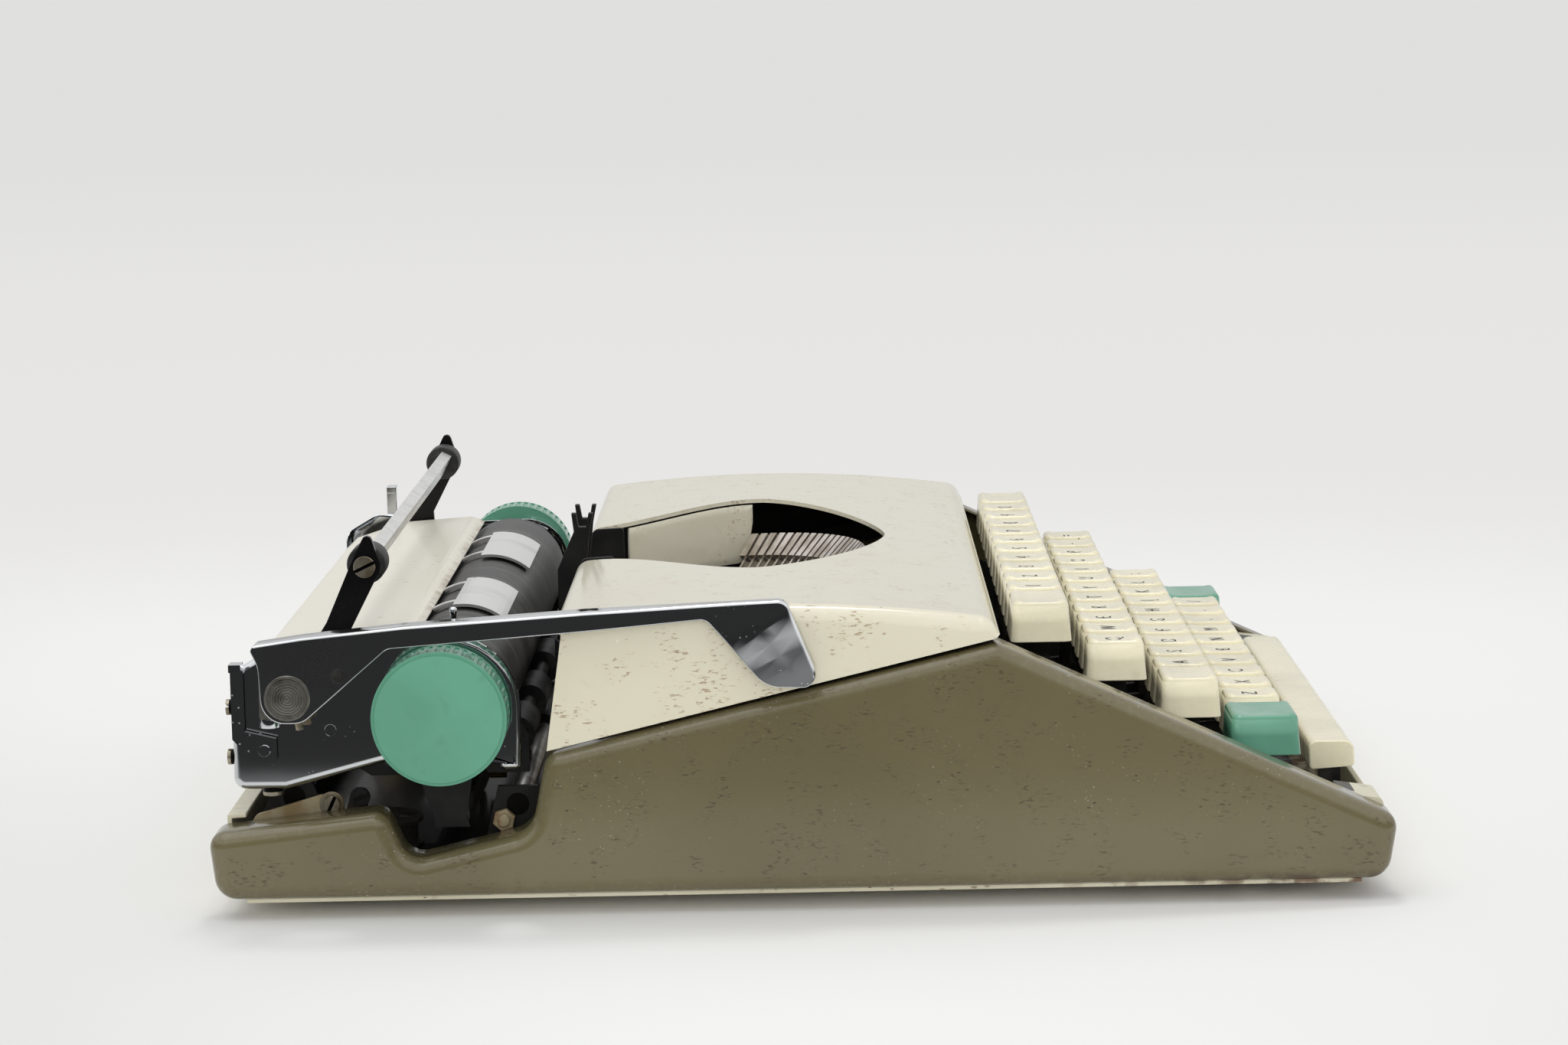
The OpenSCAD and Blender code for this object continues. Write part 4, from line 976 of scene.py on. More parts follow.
    def build_skirt(self, side: Side) -> None:
        """Makes the wall that hangs from the opening's edge, with a rounded front lower corner.

        Args:
            side: which side of the opening.
        """
        y = np.linspace(*self.skirt_y, 24)[:, None]
        front = np.clip((self.skirt_y[0] + self.skirt_round - y) / self.skirt_round, 0, 1)
        fall = self.skirt * np.clip(1 - front ** 2.5, 0.05, 1) ** 0.4
        z = self.height(y) - self.sheet / 2 - fall * np.linspace(0, 1, 8)
        x = side.value * (self.opening(y) + 0.6)
        points = np.dstack(np.broadcast_arrays(x, y, z)) * MM
        piece = new_piece("cover_skirt_" + side.word, points, grid_faces(*z.shape), CREAM, "cover")
        thicken(piece, self.skirt_sheet * MM, 0.0)


@dataclass
class KeyCap:
    """One key cap: place, size and the X of its lever."""

    x: float
    y: float
    top: float
    width: float = 14.0
    depth: float = 15.0
    height: float = 11.0
    lever_x: Optional[float] = None
    legend: str = ""
    fillet: float = 1.7
    flare: float = 0.7
    dish: float = 1.0
    corner: float = 2.2

    def rings(self) -> tuple[np.ndarray, np.ndarray]:
        """The cap's surface as rings from the middle of its underside to the middle of its dished top.

        Each ring is a rounded rectangle; the top sinks with the square of the distance from its front and rear edges.

        Returns:
            The points, ring by ring, in millimetres, and the wear of each ring.
        """
        turn = np.linspace(0, np.pi / 2, 6)
        shoulder, inner = self.height - self.fillet, np.ones(4)
        inset = np.concatenate([self.flare * np.array([-1.0, -1.0, -0.9, -0.35, 0.0]),
                                self.fillet * (1 - np.cos(turn)), self.fillet * inner])
        level = np.concatenate([[0.0, 0.0, 0.25, self.height * 0.45, shoulder],
                                shoulder + self.fillet * np.sin(turn), self.height * inner])
        scale = np.concatenate([[0.02], np.ones(10), [0.8, 0.55, 0.3, 0.02]])
        wear = np.concatenate([[0, 0.8, 0.6, 0, 0], np.sin(2 * turn), 0 * inner])
        half = np.array([self.width, self.depth]) / 2
        corners = np.array([(-1, -1), (1, -1), (1, 1), (-1, 1)])
        boxes = [np.column_stack([corners * (half - i), np.full(4, self.corner)]) for i in inset]
        flat = np.stack([rounded_outline(box, 0.0, 5) for box in boxes]) * scale[:, None, None]
        sink = np.clip((level - shoulder) / self.fillet, 0, 1) ** 2
        fall = self.dish * sink[:, None] * (1 - np.clip(flat[:, :, 1] / (half[1] - self.fillet), -1, 1) ** 2)
        z = self.top - self.height + level[:, None] - fall
        points = np.dstack([flat[:, :, 0] + self.x, flat[:, :, 1] + self.y, z])
        return points, np.repeat(wear[:, None], flat.shape[1], 1)

    def surface_z(self, y: np.ndarray) -> np.ndarray:
        """Height of the dished top at each Y."""
        half = self.depth / 2 - self.fillet
        return self.top - self.dish * (1 - np.clip((y - self.y) / half, -1, 1) ** 2)


@dataclass
class Keyboard:
    """Key caps, their levers and the space bar."""

    pitch: float = 19.0
    row_pitch: float = 19.8
    rise: float = 10.6
    front_y: float = -123.8
    front_top: float = 44.5
    axis: Pair = (60.0, 11.0)
    lever_t: float = 1.5
    stem: float = 6.0
    strip: float = 4.0
    tail: float = 4.0
    lever_front: float = 24.0
    letter: float = 6.2
    firsts: tuple[float, ...] = (-4.5, -6.0, -4.75, -4.25)
    legends: tuple[str, ...] = ("1234567890", "QWERTYUIOP-=", "ASDFGHJKL;", "ZXCVBNM,./")
    bar: tuple[Triple, ...] = ((-151.2, 24.6, 1.0), (-138.7, 23.8, 1.0), (-138.4, 31.9, 2.4), (-151.0, 31.8, 2.6))
    bar_half: float = 92.0
    bar_arm: float = 88.16
    bar_stem: tuple[Pair, ...] = ((-141.5, 20.0), (-141.5, 26.0), (-147.5, 26.0), (-147.5, 16.0))

    def place(self, row: int) -> Pair:
        """Y and height of a row, counted from the rear."""
        return self.front_y + (3 - row) * self.row_pitch, self.front_top + (3 - row) * self.rise

    def row(self, row: int) -> list[KeyCap]:
        """The plain keys of a row."""
        y, top = self.place(row)
        return [KeyCap((self.firsts[row] + i) * self.pitch, y, top, legend=letter)
                for i, letter in enumerate(self.legends[row])]

    def wide(self, row: int, x: float, width: float, lever: float, depth: float = 15.0) -> KeyCap:
        """A wide key at a row's end."""
        y, top = self.place(row)
        return KeyCap(x, y, top, width, depth, lever_x=lever)

    def lever_outline(self, stem: Sequence[Pair]) -> np.ndarray:
        """Side view of a lever: its end at the shaft, then the points of its upright stem."""
        end, middle = self.axis[0] + self.tail, self.axis[1]
        return np.array([(end, middle - self.strip / 2), (end, middle + self.strip / 2), *stem])

    def key_lever(self, cap: KeyCap) -> tuple[float, np.ndarray]:
        """X and side view of a key's lever."""
        front, top, h = cap.y - self.stem / 2, cap.top - cap.height + 2, self.strip / 2
        rear = front + self.stem
        stem = [(rear, self.lever_front + h), (rear, top), (front, top), (front, self.lever_front - h)]
        return cap.x if cap.lever_x is None else cap.lever_x, self.lever_outline(stem)

    def levers(self, name: str, places: Sequence[tuple[float, np.ndarray]], body: str) -> bpy.types.Object:
        """Makes flat levers: each outline at two X values, joined round its edge.

        Args:
            name: the piece's name.
            places: X and outline of each lever, in millimetres.
            body: the body that carries them.

        Returns:
            The levers as one piece.
        """
        strips = Surface()
        for x, outline in places:
            strips.add(carried((x - self.lever_t / 2, x + self.lever_t / 2), outline, (1.0, 1.0)), flip=True)
        return strips.piece(name, DARK_STEEL, body, "frame_black", False)

    def caps(self, node: str, body: str, caps: Sequence[KeyCap], finish: Finish, slot: str) -> None:
        """Makes the caps, levers and legends that stand for one solid.

        Args:
            node: the solid that they replace.
            body: the body that carries them.
            caps: the keys.
            finish: finish of the caps.
            slot: a slot name that is handed on with the caps' piece.
        """
        shells = Surface()
        for cap in caps:
            rings, worn = cap.rings()
            shells.add(rings, mark=worn)
        piece = shells.piece(node + "_caps", finish, body, slot, mark="edge")
        lever = self.levers(node + "_levers", [self.key_lever(cap) for cap in caps], body)
        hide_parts(node)
        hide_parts(node)
        self.write(node, body, [cap for cap in caps if cap.legend])

    def write(self, node: str, body: str, caps: Sequence[KeyCap]) -> None:
        """Lays each key's letter on its dished top, as one thin mesh."""
        points, faces, start = [], [], 0
        for cap in caps:
            curve = bpy.data.curves.new("letter", "FONT")
            curve.body = cap.legend
            curve.size = self.letter
            curve.align_x = curve.align_y = "CENTER"
            holder = linked("letter", curve)
            mesh = bpy.data.meshes.new_from_object(holder.evaluated_get(bpy.context.evaluated_depsgraph_get()))
            flat = np.empty(len(mesh.vertices) * 3)
            mesh.vertices.foreach_get("co", flat)
            flat = flat.reshape(-1, 3)
            x, y = cap.x + flat[:, 0], cap.y + flat[:, 1]
            points.append(np.column_stack([x, y, cap.surface_z(y) + 0.03]))
            faces += [[v + start for v in polygon.vertices] for polygon in mesh.polygons]
            start += len(flat)
            bpy.data.objects.remove(holder)
            bpy.data.curves.remove(curve)
            bpy.data.meshes.remove(mesh)
        if points:
            piece = new_piece(node + "_legend", np.concatenate(points) * MM, faces, LEGEND_INK, body, smooth=False)

    def space_bar(self) -> None:
        """Makes the space bar: a rounded section carried along X, with its two arms."""
        end = self.bar_half - np.array([0.0, 0.3, 1.0])
        taper = np.array([0.9, 0.97, 0.995])
        x = np.concatenate([-end, np.linspace(2 - self.bar_half, self.bar_half - 2, 20), end[::-1]])
        scale = np.concatenate([taper, np.ones(20), taper[::-1]])
        rings = carried(x, rounded_outline(self.bar, 0.0, 6), scale)
        bar = Surface().add(rings, flip=True).piece("space_bar_cap", KEY_CREAM, "space", "key_plastic")
        bar.modifiers.new("normals", "WEIGHTED_NORMAL")
        outline = self.lever_outline(self.bar_stem)
        arms = self.levers("space_bar_arms", [(-self.bar_arm, outline), (self.bar_arm, outline)], "space")
        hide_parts("space_bar")
        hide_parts("space_bar")

    def build(self) -> None:
        """Makes every key and the space bar."""
        cream, green = (KEY_CREAM, "key_plastic"), (SEA_GREEN, "green_plastic")
        for row, name in ((0, "number"), (1, "upper"), (3, "lower")):
            self.caps(name + "_row", name + "_keys", self.row(row), *cream)
        for i, cap in enumerate(self.row(2), 1):
            self.caps(f"home_key_{i:02d}", f"home_{i:02d}", [cap], *cream)
        end, right = 5.71 * self.pitch, 5.82 * self.pitch
        lock, release = -5.85 * self.pitch, -5.45 * self.pitch
        wide = ((self.wide(3, -end, 23.0, -end, 17.8), "shift_key_left", "shift_left", green),
                (self.wide(3, right, 22.0, right + 2, 17.8), "shift_key_right", "shift_right", green),
                (self.wide(2, -end - 1.3, 20.2, lock), "shift_lock_key", "shift_lock", cream),
                (self.wide(0, -end, 23.0, release), "margin_release_key", "margin_release", cream),
                (self.wide(0, end, 23.0, end), "backspace_key", "backspace", cream))
        for cap, node, body, look in wide:
            self.caps(node, body, [cap], *look)
        self.space_bar()


@dataclass
class ReturnLever:
    """The folded return lever: a pressed sheet with a rolled upper and front edge, on its boss."""

    face_x: float = 156.4
    boss_x: float = 157.0
    inner_x: float = 148.6
    roll: float = 0.8
    sheet: float = 1.0
    boss: Pair = (132.1, 60.2)
    boss_r: float = 5.95
    rivet: Pair = (118.8, 65.7)
    spine: tuple[Pair, ...] = ((132.1, 60.2), (121.0, 69.0), (104.0, 75.4), (60.0, 79.1), (30.0, 80.0), (20.0, 80.2),
                               (13.5, 78.4), (8.5, 73.0), (2.5, 65.5))
    stations: int = 38
    roll_way: Pair = (0.55, 0.835)
    thumb: Pair = (9.0, 71.5)
    slant: Pair = (0.43, 0.9)
    flare: float = 5.4
    lip: float = 1.0
    sink: float = 2.4
    corners: tuple[Triple, ...] = (
        (3.0, 82.7, 3.4), (55.0, 80.9, 60.0), (101.8, 78.2, 60.0), (128.0, 75.8, 40.0), (141.9, 73.9, 1.6),
        (139.4, 68.4, 8.0), (138.8, 53.5, 6.3), (128.4, 53.5, 6.0), (106.0, 72.5, 3.0), (23.8, 78.2, 3.4),
        (8.6, 60.6, 9.0), (-6.2, 60.4, 3.6))

    def bend(self, y: np.ndarray, z: np.ndarray) -> np.ndarray:
        """How far the sheet stands out: a thumb rest, dished along a slanting line and flared below it."""
        across = self.slant[1] * (z - self.thumb[1]) + self.slant[0] * (y - self.thumb[0])
        dish = self.flare * ease(across, 6.0, -30.0) - self.lip * ease(across, -5.0, 6.0) - self.sink
        return dish * ease(y, 60.0, 10.0)

    def pressing(self) -> None:
        """Makes the sheet: rings from the flange round the roll, and in to stations on a spine."""
        flat = refine(rounded_outline(from_left(self.corners), 0.0, 8), 0.8)
        way = outward(flat)
        rolled = ease(way @ np.array(self.roll_way), 0.05, 0.45)
        inset, deep = rolled_edge(self.roll, self.face_x - self.inner_x, 0.3)
        rings = flat[None] - way[None] * (inset[:, None] * rolled[None])[..., None]
        rings[-1] -= way * (0.25 * (1 - rolled))[:, None]
        spine = nearest(rings[-1], np.array(self.spine) * (-1, 1), self.stations)
        share = np.array([0.1, 0.2, 0.32, 0.46, 0.66, 1.0])
        rings = np.concatenate([rings, rings[-1] + (spine - rings[-1]) * share[:, None, None]])
        out = self.face_x - np.pad(deep, (0, len(share)))[:, None] * rolled
        bend = self.bend(-rings[..., 0], rings[..., 1])
        bend[0] *= 1 - rolled
        grid = Seat().put(rings[..., 0], rings[..., 1], out + bend)
        sheet = Surface().add(grid, False, False).piece("lever_sheet", LEVER_CHROME, "lever", "chrome")
        thicken(sheet, self.sheet * MM)
        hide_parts("return_lever")

    def build(self) -> None:
        """Makes the sheet, its boss and its rivet."""
        self.pressing()
        r = self.boss_r
        profile = [(r, self.inner_x - self.boss_x), (r, -0.25), (r - 0.2, 0.0), (r - 0.75, 0.0), (r - 0.9, -0.2),
                   (r - 1.1, -0.2), (r - 1.2, -0.05), (2.0, 0.0), (0.2, 0.02)]
        hub = Surface().add(Seat((-self.boss_x, *self.boss)).lathe(profile, 64))
        boss = hub.piece("lever_boss", BOSS_NICKEL, "lever", "dull_steel", False)
        profile = [(1.9, -0.3), (1.9, 0.06), (1.75, 0.1), (1.5, 0.1), (1.4, 0.02), (1.2, 0.02), (1.1, 0.12),
                   (0.1, 0.16)]
        pin = Surface().add(Seat((-self.face_x, *self.rivet)).lathe(profile))
        pin.piece("lever_rivet", DARK_STEEL, "lever", "dull_steel", False)
        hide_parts("return_lever")


@dataclass
class CheekSkin:
    """The polished skin of a carriage cheek, with its rolled rim, dimple and screws."""

    face_x: float = 141.35
    roll: float = 1.8
    sheet: float = 0.25
    flange: float = 5.4
    flange_way: Pair = (-0.75, -0.66)
    flange_from: float = 104.0
    screw_x: float = 138.0
    dimple_at: Pair = (141.9, 45.6)
    rivet_at: Pair = (123.0, 49.0)
    rear_y: float = 148.9
    rear_screws: tuple[Pair, ...] = ((55.1, 20.0), (41.9, 70.0))
    lower_screw: Pair = (139.1, 33.4)
    left_front: tuple[Triple, ...] = ((73.0, 74.1, 20.0), (112.6, 73.2, 8.0))
    right_front: tuple[Triple, ...] = ((79.0, 68.2, 13.6), (112.0, 67.2, 8.0))
    rest: tuple[Triple, ...] = (
        (138.6, 70.3, 6.0), (148.6, 64.6, 4.5), (148.9, 33.6, 3.2), (135.0, 33.4, 3.0), (108.9, 40.1, 2.0),
        (101.8, 48.4, 3.0), (84.4, 48.4, 3.0), (79.2, 44.9, 2.0), (79.0, 37.4, 1.6), (73.2, 37.4, 1.6))

    def outline(self, side: Side) -> np.ndarray:
        """The cheek's outline from the left, as distances to the front and up; the right one is lower."""
        front = self.left_front if side is Side.LEFT else self.right_front
        return rounded_outline(from_left((*front, *self.rest)), 0.0, 9)

    def build(self, side: Side) -> None:
        """Makes one skin: rings from the flange round the rolled rim to the flat face.

        Args:
            side: which end of the carriage.
        """
        flat = self.outline(side)
        way = outward(flat)
        rear = np.clip(way @ np.array(self.flange_way) * 2 - 0.6, 0, 1) * (flat[:, 0] < -self.flange_from)
        inset, deep = rolled_edge(self.roll, self.roll, 0.4)
        deep = deep[:, None] * np.ones(len(flat))
        deep[0] += 0.2 + (self.flange - self.roll) * rear
        rings = flat[None] - way[None] * inset[:, None, None]
        grid = Seat().put(rings[..., 0], rings[..., 1], self.face_x - deep)
        grid[..., 0] *= -side.value
        skin = Surface().add(grid, first=False, flip=side is Side.RIGHT)
        piece = skin.piece("cheek_skin_" + side.word, CHROME, "carriage", "chrome")
        thicken(piece, self.sheet * MM)
        self.fittings(side)

    def fittings(self, side: Side) -> None:
        """Makes the dimple, a faint ring and the three screws of a cheek; a rear screw has a height and a turn."""
        dimple = [(2.5, -0.1), (2.35, 0.12), (2.0, 0.3), (1.7, 0.3), (1.3, 0.12), (0.8, 0.04), (0.1, 0.03)]
        ring = [(1.9, -0.1), (1.9, 0.03), (1.55, 0.03), (1.5, 0.01), (0.1, 0.01)]
        plan = (("dimple", self.dimple_at, dimple, True), ("rivet", self.rivet_at, ring, False))
        for kind, at, profile, smooth in plan:
            mark = Surface().add(Seat((side.value * self.face_x, *at), side.out).lathe(profile))
            mark.piece(f"cheek_{kind}_{side.word}", CHROME, "carriage", "chrome", smooth)
        heads = Surface()
        x = side.value * self.screw_x
        for z, turn in self.rear_screws:
            Seat((x, self.rear_y, z), (0.0, 1.0, 0.0)).screw(heads, 2.1, 1.6, turn)
        Seat((x, *self.lower_screw), (0.0, 0.0, -1.0), (0.0, 1.0, 0.0)).screw(heads, 2.6, 1.9, 80.0)
        soften(heads.piece("cheek_screws_" + side.word, SCREW_NICKEL, "carriage", "dull_steel", False), 0.1 * MM, 2)


@dataclass
class Fittings:
    """Small fittings that show round the carriage's left end, on the bail and inside the case."""

    bracket_x: float = 135.7
    bracket_at: Pair = (123.9, 28.3)
    catch_x: float = 135.4
    catch_at: Pair = (116.0, 30.0)
    bolt_at: Triple = (-134.0, 78.7, 23.0)
    peg_at: Triple = (-129.8, 90.9, 70.0)
    lug_at: Triple = (-129.0, 95.4, 71.0)
    pawl_x: float = 148.0
    pin_at: Triple = (-147.3, 130.6, 52.6)
    pin_way: Triple = (0.0, -0.17, -0.985)
    bail_end: Triple = (125.6, 114.3, 89.8)

    def plate(self, x: float, outline: Sequence[Triple], thick: float) -> np.ndarray:
        """Rings of a flat plate; its outline is Y, Z and corner radius, from the left, anticlockwise."""
        flat = rounded_outline(from_left(outline), 0.0, 5)
        return Seat((-x, 0.0, 0.0)).prism(flat, -thick, 0.0, 0.12)

    def bracket(self) -> None:
        """A rusted bracket beside the rear rail, with its washer and screw, and a catch."""
        corners = [(120.6, 29.6, 2.4), (126.4, 30.9, 4.0), (144.0, 25.8, 3.0), (147.0, 21.0, 1.0), (128.0, 21.0, 1.0),
                   (121.0, 24.6, 2.0)]
        plate = Surface().add(self.plate(self.bracket_x, corners, 1.2))
        plate.piece("rail_bracket", RUSTED_PLATE, "chassis", "dull_steel", False)
        washer = [(3.3, -0.1), (3.3, 0.3), (3.1, 0.4), (1.6, 0.4)]
        head = Surface().add(Seat((-self.bracket_x, *self.bracket_at)).lathe(washer))
        Seat((-self.bracket_x - 0.4, *self.bracket_at)).screw(head, 2.2, 1.0, 65.0)
        head.piece("rail_bracket_screw", SCREW_NICKEL, "chassis", "dull_steel", False)
        corners = [(113.4, 32.4, 2.2), (118.6, 32.4, 2.2), (123.0, 16.0, 2.0), (117.6, 16.0, 2.0)]
        catch = Surface().add(self.plate(self.catch_x, corners, 1.2))
        Seat((-self.catch_x, *self.catch_at)).screw(catch, 2.3, 1.1, 20.0)
        catch.piece("rail_catch", BLACK_STEEL, "chassis", "frame_black", False)

    def bolt(self) -> None:
        """A rusty bolt with its nut at the foot of the front rail."""
        turn = np.linspace(0, 2 * np.pi, 6, endpoint=False) + 0.3
        seat = Seat(self.bolt_at)
        nut = Surface().add(seat.prism(3.1 * np.stack([np.cos(turn), np.sin(turn)], -1), 0.0, 1.9, 0.25))
        nut.add(seat.lathe([(1.7, 1.5), (1.7, 2.7), (1.4, 3.0), (0.1, 3.05)]))
        nut.piece("rail_bolt", RUSTED_PLATE, "chassis", "dull_steel", False)

    def peg(self) -> None:
        """An upright peg and a domed lug on the left carriage plate."""
        peg = Seat(self.peg_at, (0.0, 0.0, 1.0), (0.0, 1.0, 0.0))
        profile = [(0.85, -3.0), (0.85, 7.6), (1.0, 7.9), (1.0, 8.8), (0.6, 9.2), (0.1, 9.3)]
        Surface().add(peg.lathe(profile, 20)).piece("plate_peg", CHROME, "carriage", "chrome")
        lug = Seat(self.lug_at)
        angle = np.linspace(0, np.pi / 2, 8)
        dome = np.stack([3.6 * np.cos(angle), 1.6 * np.sin(angle) + 0.2], -1)
        dome[-1, 0] = 0.1
        Surface().add(lug.lathe(dome, 28)).piece("plate_lug", BLACK_STEEL, "carriage", "black_metal")

    def pawl(self) -> None:
        """A tab and a pin under the lever's boss."""
        corners = [(127.4, 54.2, 0.4), (134.2, 54.2, 0.4), (134.2, 52.2, 0.6), (127.0, 51.6, 0.6)]
        tab = Surface().add(self.plate(self.pawl_x, corners, 1.4))
        pin = Seat(self.pin_at, self.pin_way, (1.0, 0.0, 0.0))
        tab.add(pin.lathe([(1.05, -1.0), (1.05, 2.1), (0.9, 2.3), (0.1, 2.3)], 24))
        tab.piece("bracket_pawl", SCREW_NICKEL, "bracket", "dull_steel", False)

    def pairs(self) -> None:
        """Plates that both ends have, as sections carried along X.

        They are the sloping corner plates of the pan's front, blackened plates at the ends of the ribbon's gap, and
        black strips inside the panels, level with the cover's lower edge, put there as painted shade to keep light
        from showing through the gap under it.
        """
        corner = rounded_outline([(-153.4, 20.6, 0.5), (-152.4, 20.6, 0.4), (-151.6, 23.4, 1.0), (-141.6, 24.9, 0.4),
                                  (-141.6, 26.2, 0.5), (-152.6, 24.6, 1.6)], 0.0, 4)
        wing = rounded_outline([(-65.4, 50.0, 1.0), (-53.0, 50.0, 1.0), (-53.0, 78.4, 1.0), (-62.0, 78.0, 2.0),
                                (-65.4, 70.0, 2.0)], 0.0, 4) * (-1, 1)
        # a black strip put where there is only shade, closing the gap under the cover's lower edge
        seat = np.array([(54.0, 41.6), (54.0, 48.9), (-42.0, 71.2), (-42.0, 63.9)])
        black = (BLACK_STEEL, "chassis", "frame_black", False)
        plan = (("pan_corner_", (137.0, 119.2, 119.0), corner, (1.0, 1.0, 0.97), Side.RIGHT,
                 (PAN_CREAM, "chassis", "cream_enamel", False)),
                ("ribbon_wing_", (31.0, 31.15, 32.05, 32.2), wing, (0.985, 1.0, 1.0, 0.985), Side.RIGHT, black),
                ("gap_shade_strip_", (135.0, 136.0), seat, (1.0, 1.0), Side.LEFT, black))
        for name, x, section, scale, turned, look in plan:
            for side in Side:
                plate = Surface().add(carried(side.value * np.array(x), section, scale), flip=side is turned)
                plate.piece(name + side.word, *look)

    def bail_screws(self) -> None:
        """Slotted screws at the ends of the bail's roller rod."""
        x, y, z = self.bail_end
        for side in Side:
            heads = Surface()
            Seat((side.value * x, y, z), side.out).screw(heads, 2.9, 1.2, 25.0)
            heads.piece("bail_screw_" + side.word, SCREW_NICKEL, "bail", "dull_steel", False)

    def build(self) -> None:
        """Makes every fitting."""
        for make in (self.bracket, self.bolt, self.peg, self.pawl, self.pairs, self.bail_screws):
            make()


@dataclass
class Solids:
    """Finishes of the solids that show as they are."""

    plan: tuple[tuple[str, Finish, float], ...] = (
        ("body_pan", PAN_CREAM, 0.3), ("rubber_feet", FOOT_RUBBER, 0.6), ("main_frame", BLACK_STEEL, 0.0),
        ("ground_rods", GROUND_STEEL, 0.2), ("key_comb", BLACK_STEEL, 0.0), ("type_segment", TYPE_STEEL, 0.0),
        ("typebars", TYPE_STEEL, 0.0), ("type_guide", BLACK_STEEL, 0.2), ("ribbon", RIBBON_INK, 0.0),
        ("line_bell", BRASS, 0.1), ("frame_screws", PLATED_STEEL, 0.15), ("ribbon_spool_left", PLATED_STEEL, 0.15),
        ("ribbon_spool_right", PLATED_STEEL, 0.15), ("ribbon_vibrator", BLACK_STEEL, 0.25),
        ("striking_typebar", TYPE_STEEL, 0.0), ("carriage_truck", BLACK_STEEL, 0.25),
        ("carriage_rack", PLATED_STEEL, 0.0), ("carriage_frame", BLACK_STEEL, 0.25),
        ("carriage_cheek_left", CHROME, 0.5), ("carriage_cheek_right", CHROME, 0.5), ("paper_table", TABLE_CREAM, 0.3),
        ("paper_plates", PLATE_BRIGHT, 0.1), ("platen", PLATEN_RUBBER, 0.4), ("platen_knob_left", SEA_GREEN, 0.25),
        ("platen_knob_right", SEA_GREEN, 0.25), ("line_ratchet", PLATED_STEEL, 0.1),
        ("feed_roller_front", ROLLER_RUBBER, 0.3), ("feed_roller_rear", ROLLER_RUBBER, 0.3),
        ("paper_bail", BAIL_STEEL, 0.3), ("bail_rollers", ROLLER_RUBBER, 0.5), ("lever_bracket", PLATED_STEEL, 0.25),
        ("carriage_release", CHROME, 0.0), ("paper_release", CHROME, 0.25),
        ("margin_stop_left", PLATED_STEEL, 0.25), ("margin_stop_right", PLATED_STEEL, 0.25),
        ("spring_drum", PLATED_STEEL, 0.2), ("escapement_wheel", BRASS, 0.0))

    def build(self) -> None:
        """Dresses each solid."""
        for node, finish, bevel in self.plan:
            dress(node, finish, bevel)


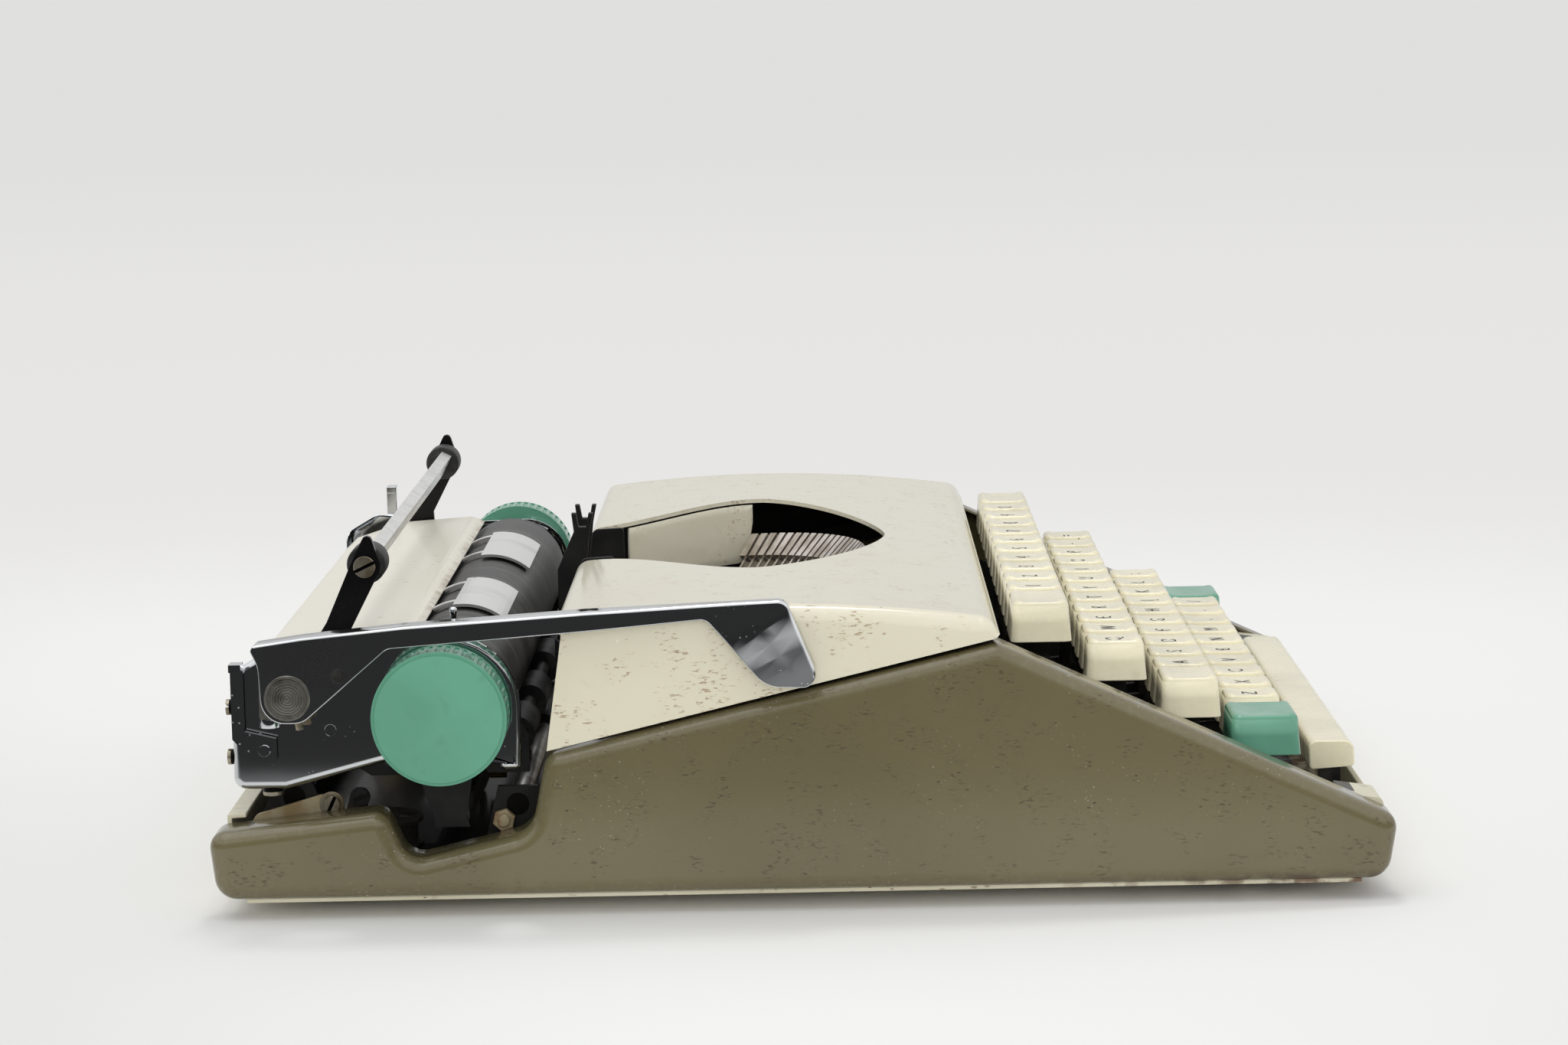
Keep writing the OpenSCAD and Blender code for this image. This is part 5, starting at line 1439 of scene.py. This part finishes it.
@dataclass
class Stage:
    """Floor, light and camera."""

    lens: float = 96.98
    eye: Triple = (-1.230, -0.0069, 0.24286)
    yaw: float = 0.0092
    pitch: float = 0.1292
    roll: float = -0.0213
    pale: Colour = (0.906, 0.902, 0.894)
    far: Colour = (0.878, 0.878, 0.87)
    ambient: float = 0.7
    painted_reflection_edge: Pair = (-0.24, -0.36)
    floor_reach: float = 40.0
    aim: Triple = (0.0, 0.0, 0.05)
    lamps: tuple[tuple[str, Triple, float, float, bool], ...] = (
        ("key_light", (-0.4, 0.5, 1.9), 1.6, 6.6, True), ("rim_light", (0.3, -0.05, 1.5), 0.26, 3.0, True),
        ("fill_light", (-2.2, -0.1, 0.5), 0.8, 11.0, False))

    def camera(self) -> None:
        """Sets the camera at the photograph's place, level with the machine's left end."""
        ahead = Vector((math.cos(self.pitch) * math.cos(self.yaw), math.cos(self.pitch) * math.sin(self.yaw),
                        -math.sin(self.pitch)))
        level = ahead.cross(Vector((0, 0, 1))).normalized()
        rise = level.cross(ahead)
        right = level * math.cos(self.roll) + rise * math.sin(self.roll)
        up = rise * math.cos(self.roll) - level * math.sin(self.roll)
        lens = bpy.data.cameras.new("camera")
        lens.lens = self.lens
        lens.sensor_width = 36.0
        lens.clip_start = 0.01
        holder = linked("camera", lens)
        axes = Matrix((right, up, -ahead)).transposed()
        holder.matrix_world = Matrix.Translation(self.eye) @ axes.to_4x4()
        bpy.context.scene.camera = holder

    def floor(self) -> None:
        """Lays a wide pale floor that fades into the background, with painted shade that darkens it far out towards
        the rear and, less, towards the front; polished faces see it end in front of the machine as a painted dark
        reflection.
        """
        reach = self.floor_reach
        mesh = bpy.data.meshes.new("floor")
        mesh.from_pydata([(-reach, -reach, 0), (reach, -reach, 0), (reach, reach, 0), (-reach, reach, 0)], [],
                         [(0, 1, 2, 3)])
        graph = Graph(bpy.data.materials.new("floor_pale"))
        x, y = graph.axis("X"), graph.axis("Y")
        away = (x * x + y * y) ** 0.5
        camera = graph.add("ShaderNodeLightPath", {}, {}, "Is Camera Ray")
        glossy = graph.also(camera, "Is Glossy Ray")
        # Painted shade: the floor's colour is darkened far out towards the rear and, half as much, towards the front,
        # where light falls off.
        painted_falloff = (y - x * 0.4).step(0.1, 0.6).larger((0.0 - y - x * 0.4).step(0.1, 0.6) * 0.5)
        paper = graph.mix(painted_falloff, (0.965, 0.965, 0.96), (0.78, 0.78, 0.77))
        matt = graph.add("ShaderNodeBsdfDiffuse", {}, {"Color": paper}, "BSDF")
        tint = graph.mix(away.step(0.8, 5.0), self.pale, self.far)
        # the same painted shade also darkens the plain colour that the camera sees
        tint = graph.mix(painted_falloff * away.step(3.0, 0.8), tint, (0.885, 0.885, 0.875))
        plain = graph.add("ShaderNodeEmission", {}, {"Color": tint, "Strength": 1.0}, "Emission")
        blend = graph.add("ShaderNodeMixShader", {}, {0: away.step(0.3, 0.9) * camera, 1: matt, 2: plain})
        # Painted reflection: beyond the edge on the camera's side, glossy rays see the floor as near-black emission.
        dark = graph.add("ShaderNodeEmission", {}, {"Color": (0.03, 0.03, 0.03, 1), "Strength": 1.0}, "Emission")
        edge = x.step(*self.painted_reflection_edge) * glossy
        graph.add_output(graph.add("ShaderNodeMixShader", {}, {0: edge, 1: blend, 2: dark}))
        mesh.materials.append(graph.owner)
        floor = linked("floor", mesh)

    def world(self) -> None:
        """A room: bright above, pale behind the machine, dark on the viewer's side."""
        room = Graph(bpy.data.worlds.new("room"), "Generated")
        bpy.context.scene.world = room.owner
        x, z = room.axis("X"), room.axis("Z")
        behind, above, below = x.step(-0.25, 0.5), z.step(0.1, 0.5), z.step(-0.2, -0.5)
        light = (0.025 + 0.62 * behind).larger(above * 0.95).larger(below * 0.6)
        camera = room.add("ShaderNodeLightPath", {}, {}, "Is Camera Ray")
        glossy = room.also(camera, "Is Glossy Ray")
        strength = glossy * light + (1.0 - glossy) * self.ambient
        even = room.add("ShaderNodeBackground", {}, {"Color": (1, 1, 1, 1), "Strength": strength})
        plain = room.add("ShaderNodeBackground", {}, {"Color": linear(self.far), "Strength": 1.0})
        room.add_output(room.add("ShaderNodeMixShader", {}, {0: camera, 1: even, 2: plain}))

    def lamp(self, name: str, place: Triple, size: float, power: float, mirrored: bool) -> None:
        """Hangs a square soft light that faces the machine; mirrored tells whether polished faces show it."""
        light = bpy.data.lights.new(name, "AREA")
        light.size = size
        light.energy = power
        holder = linked(name, light)
        way = Vector(self.aim) - Vector(place)
        holder.matrix_world = Matrix.Translation(place) @ way.to_track_quat("-Z", "Y").to_matrix().to_4x4()
        holder.visible_glossy = mirrored

    def build(self) -> None:
        """Sets the whole stage."""
        bpy.context.scene.view_settings.view_transform = "Standard"
        self.camera()
        self.floor()
        self.world()
        for lamp in self.lamps:
            self.lamp(*lamp)


def main() -> None:
    """Builds the stage and the machine in order."""
    logging.basicConfig(level=logging.INFO, format="%(name)s: %(message)s")
    Stage().build()
    Solids().build()
    panels = SidePanels()
    for side in Side:
        panels.build(side)
    cover = RibbonCover()
    cover.build()
    for side in Side:
        cover.build_skirt(side)
    Keyboard().build()
    ReturnLever().build()
    for side in Side:
        CheekSkin().build(side)
    Fittings().build()
    bpy.context.view_layer.update()


if __name__ == "__main__":
    main()
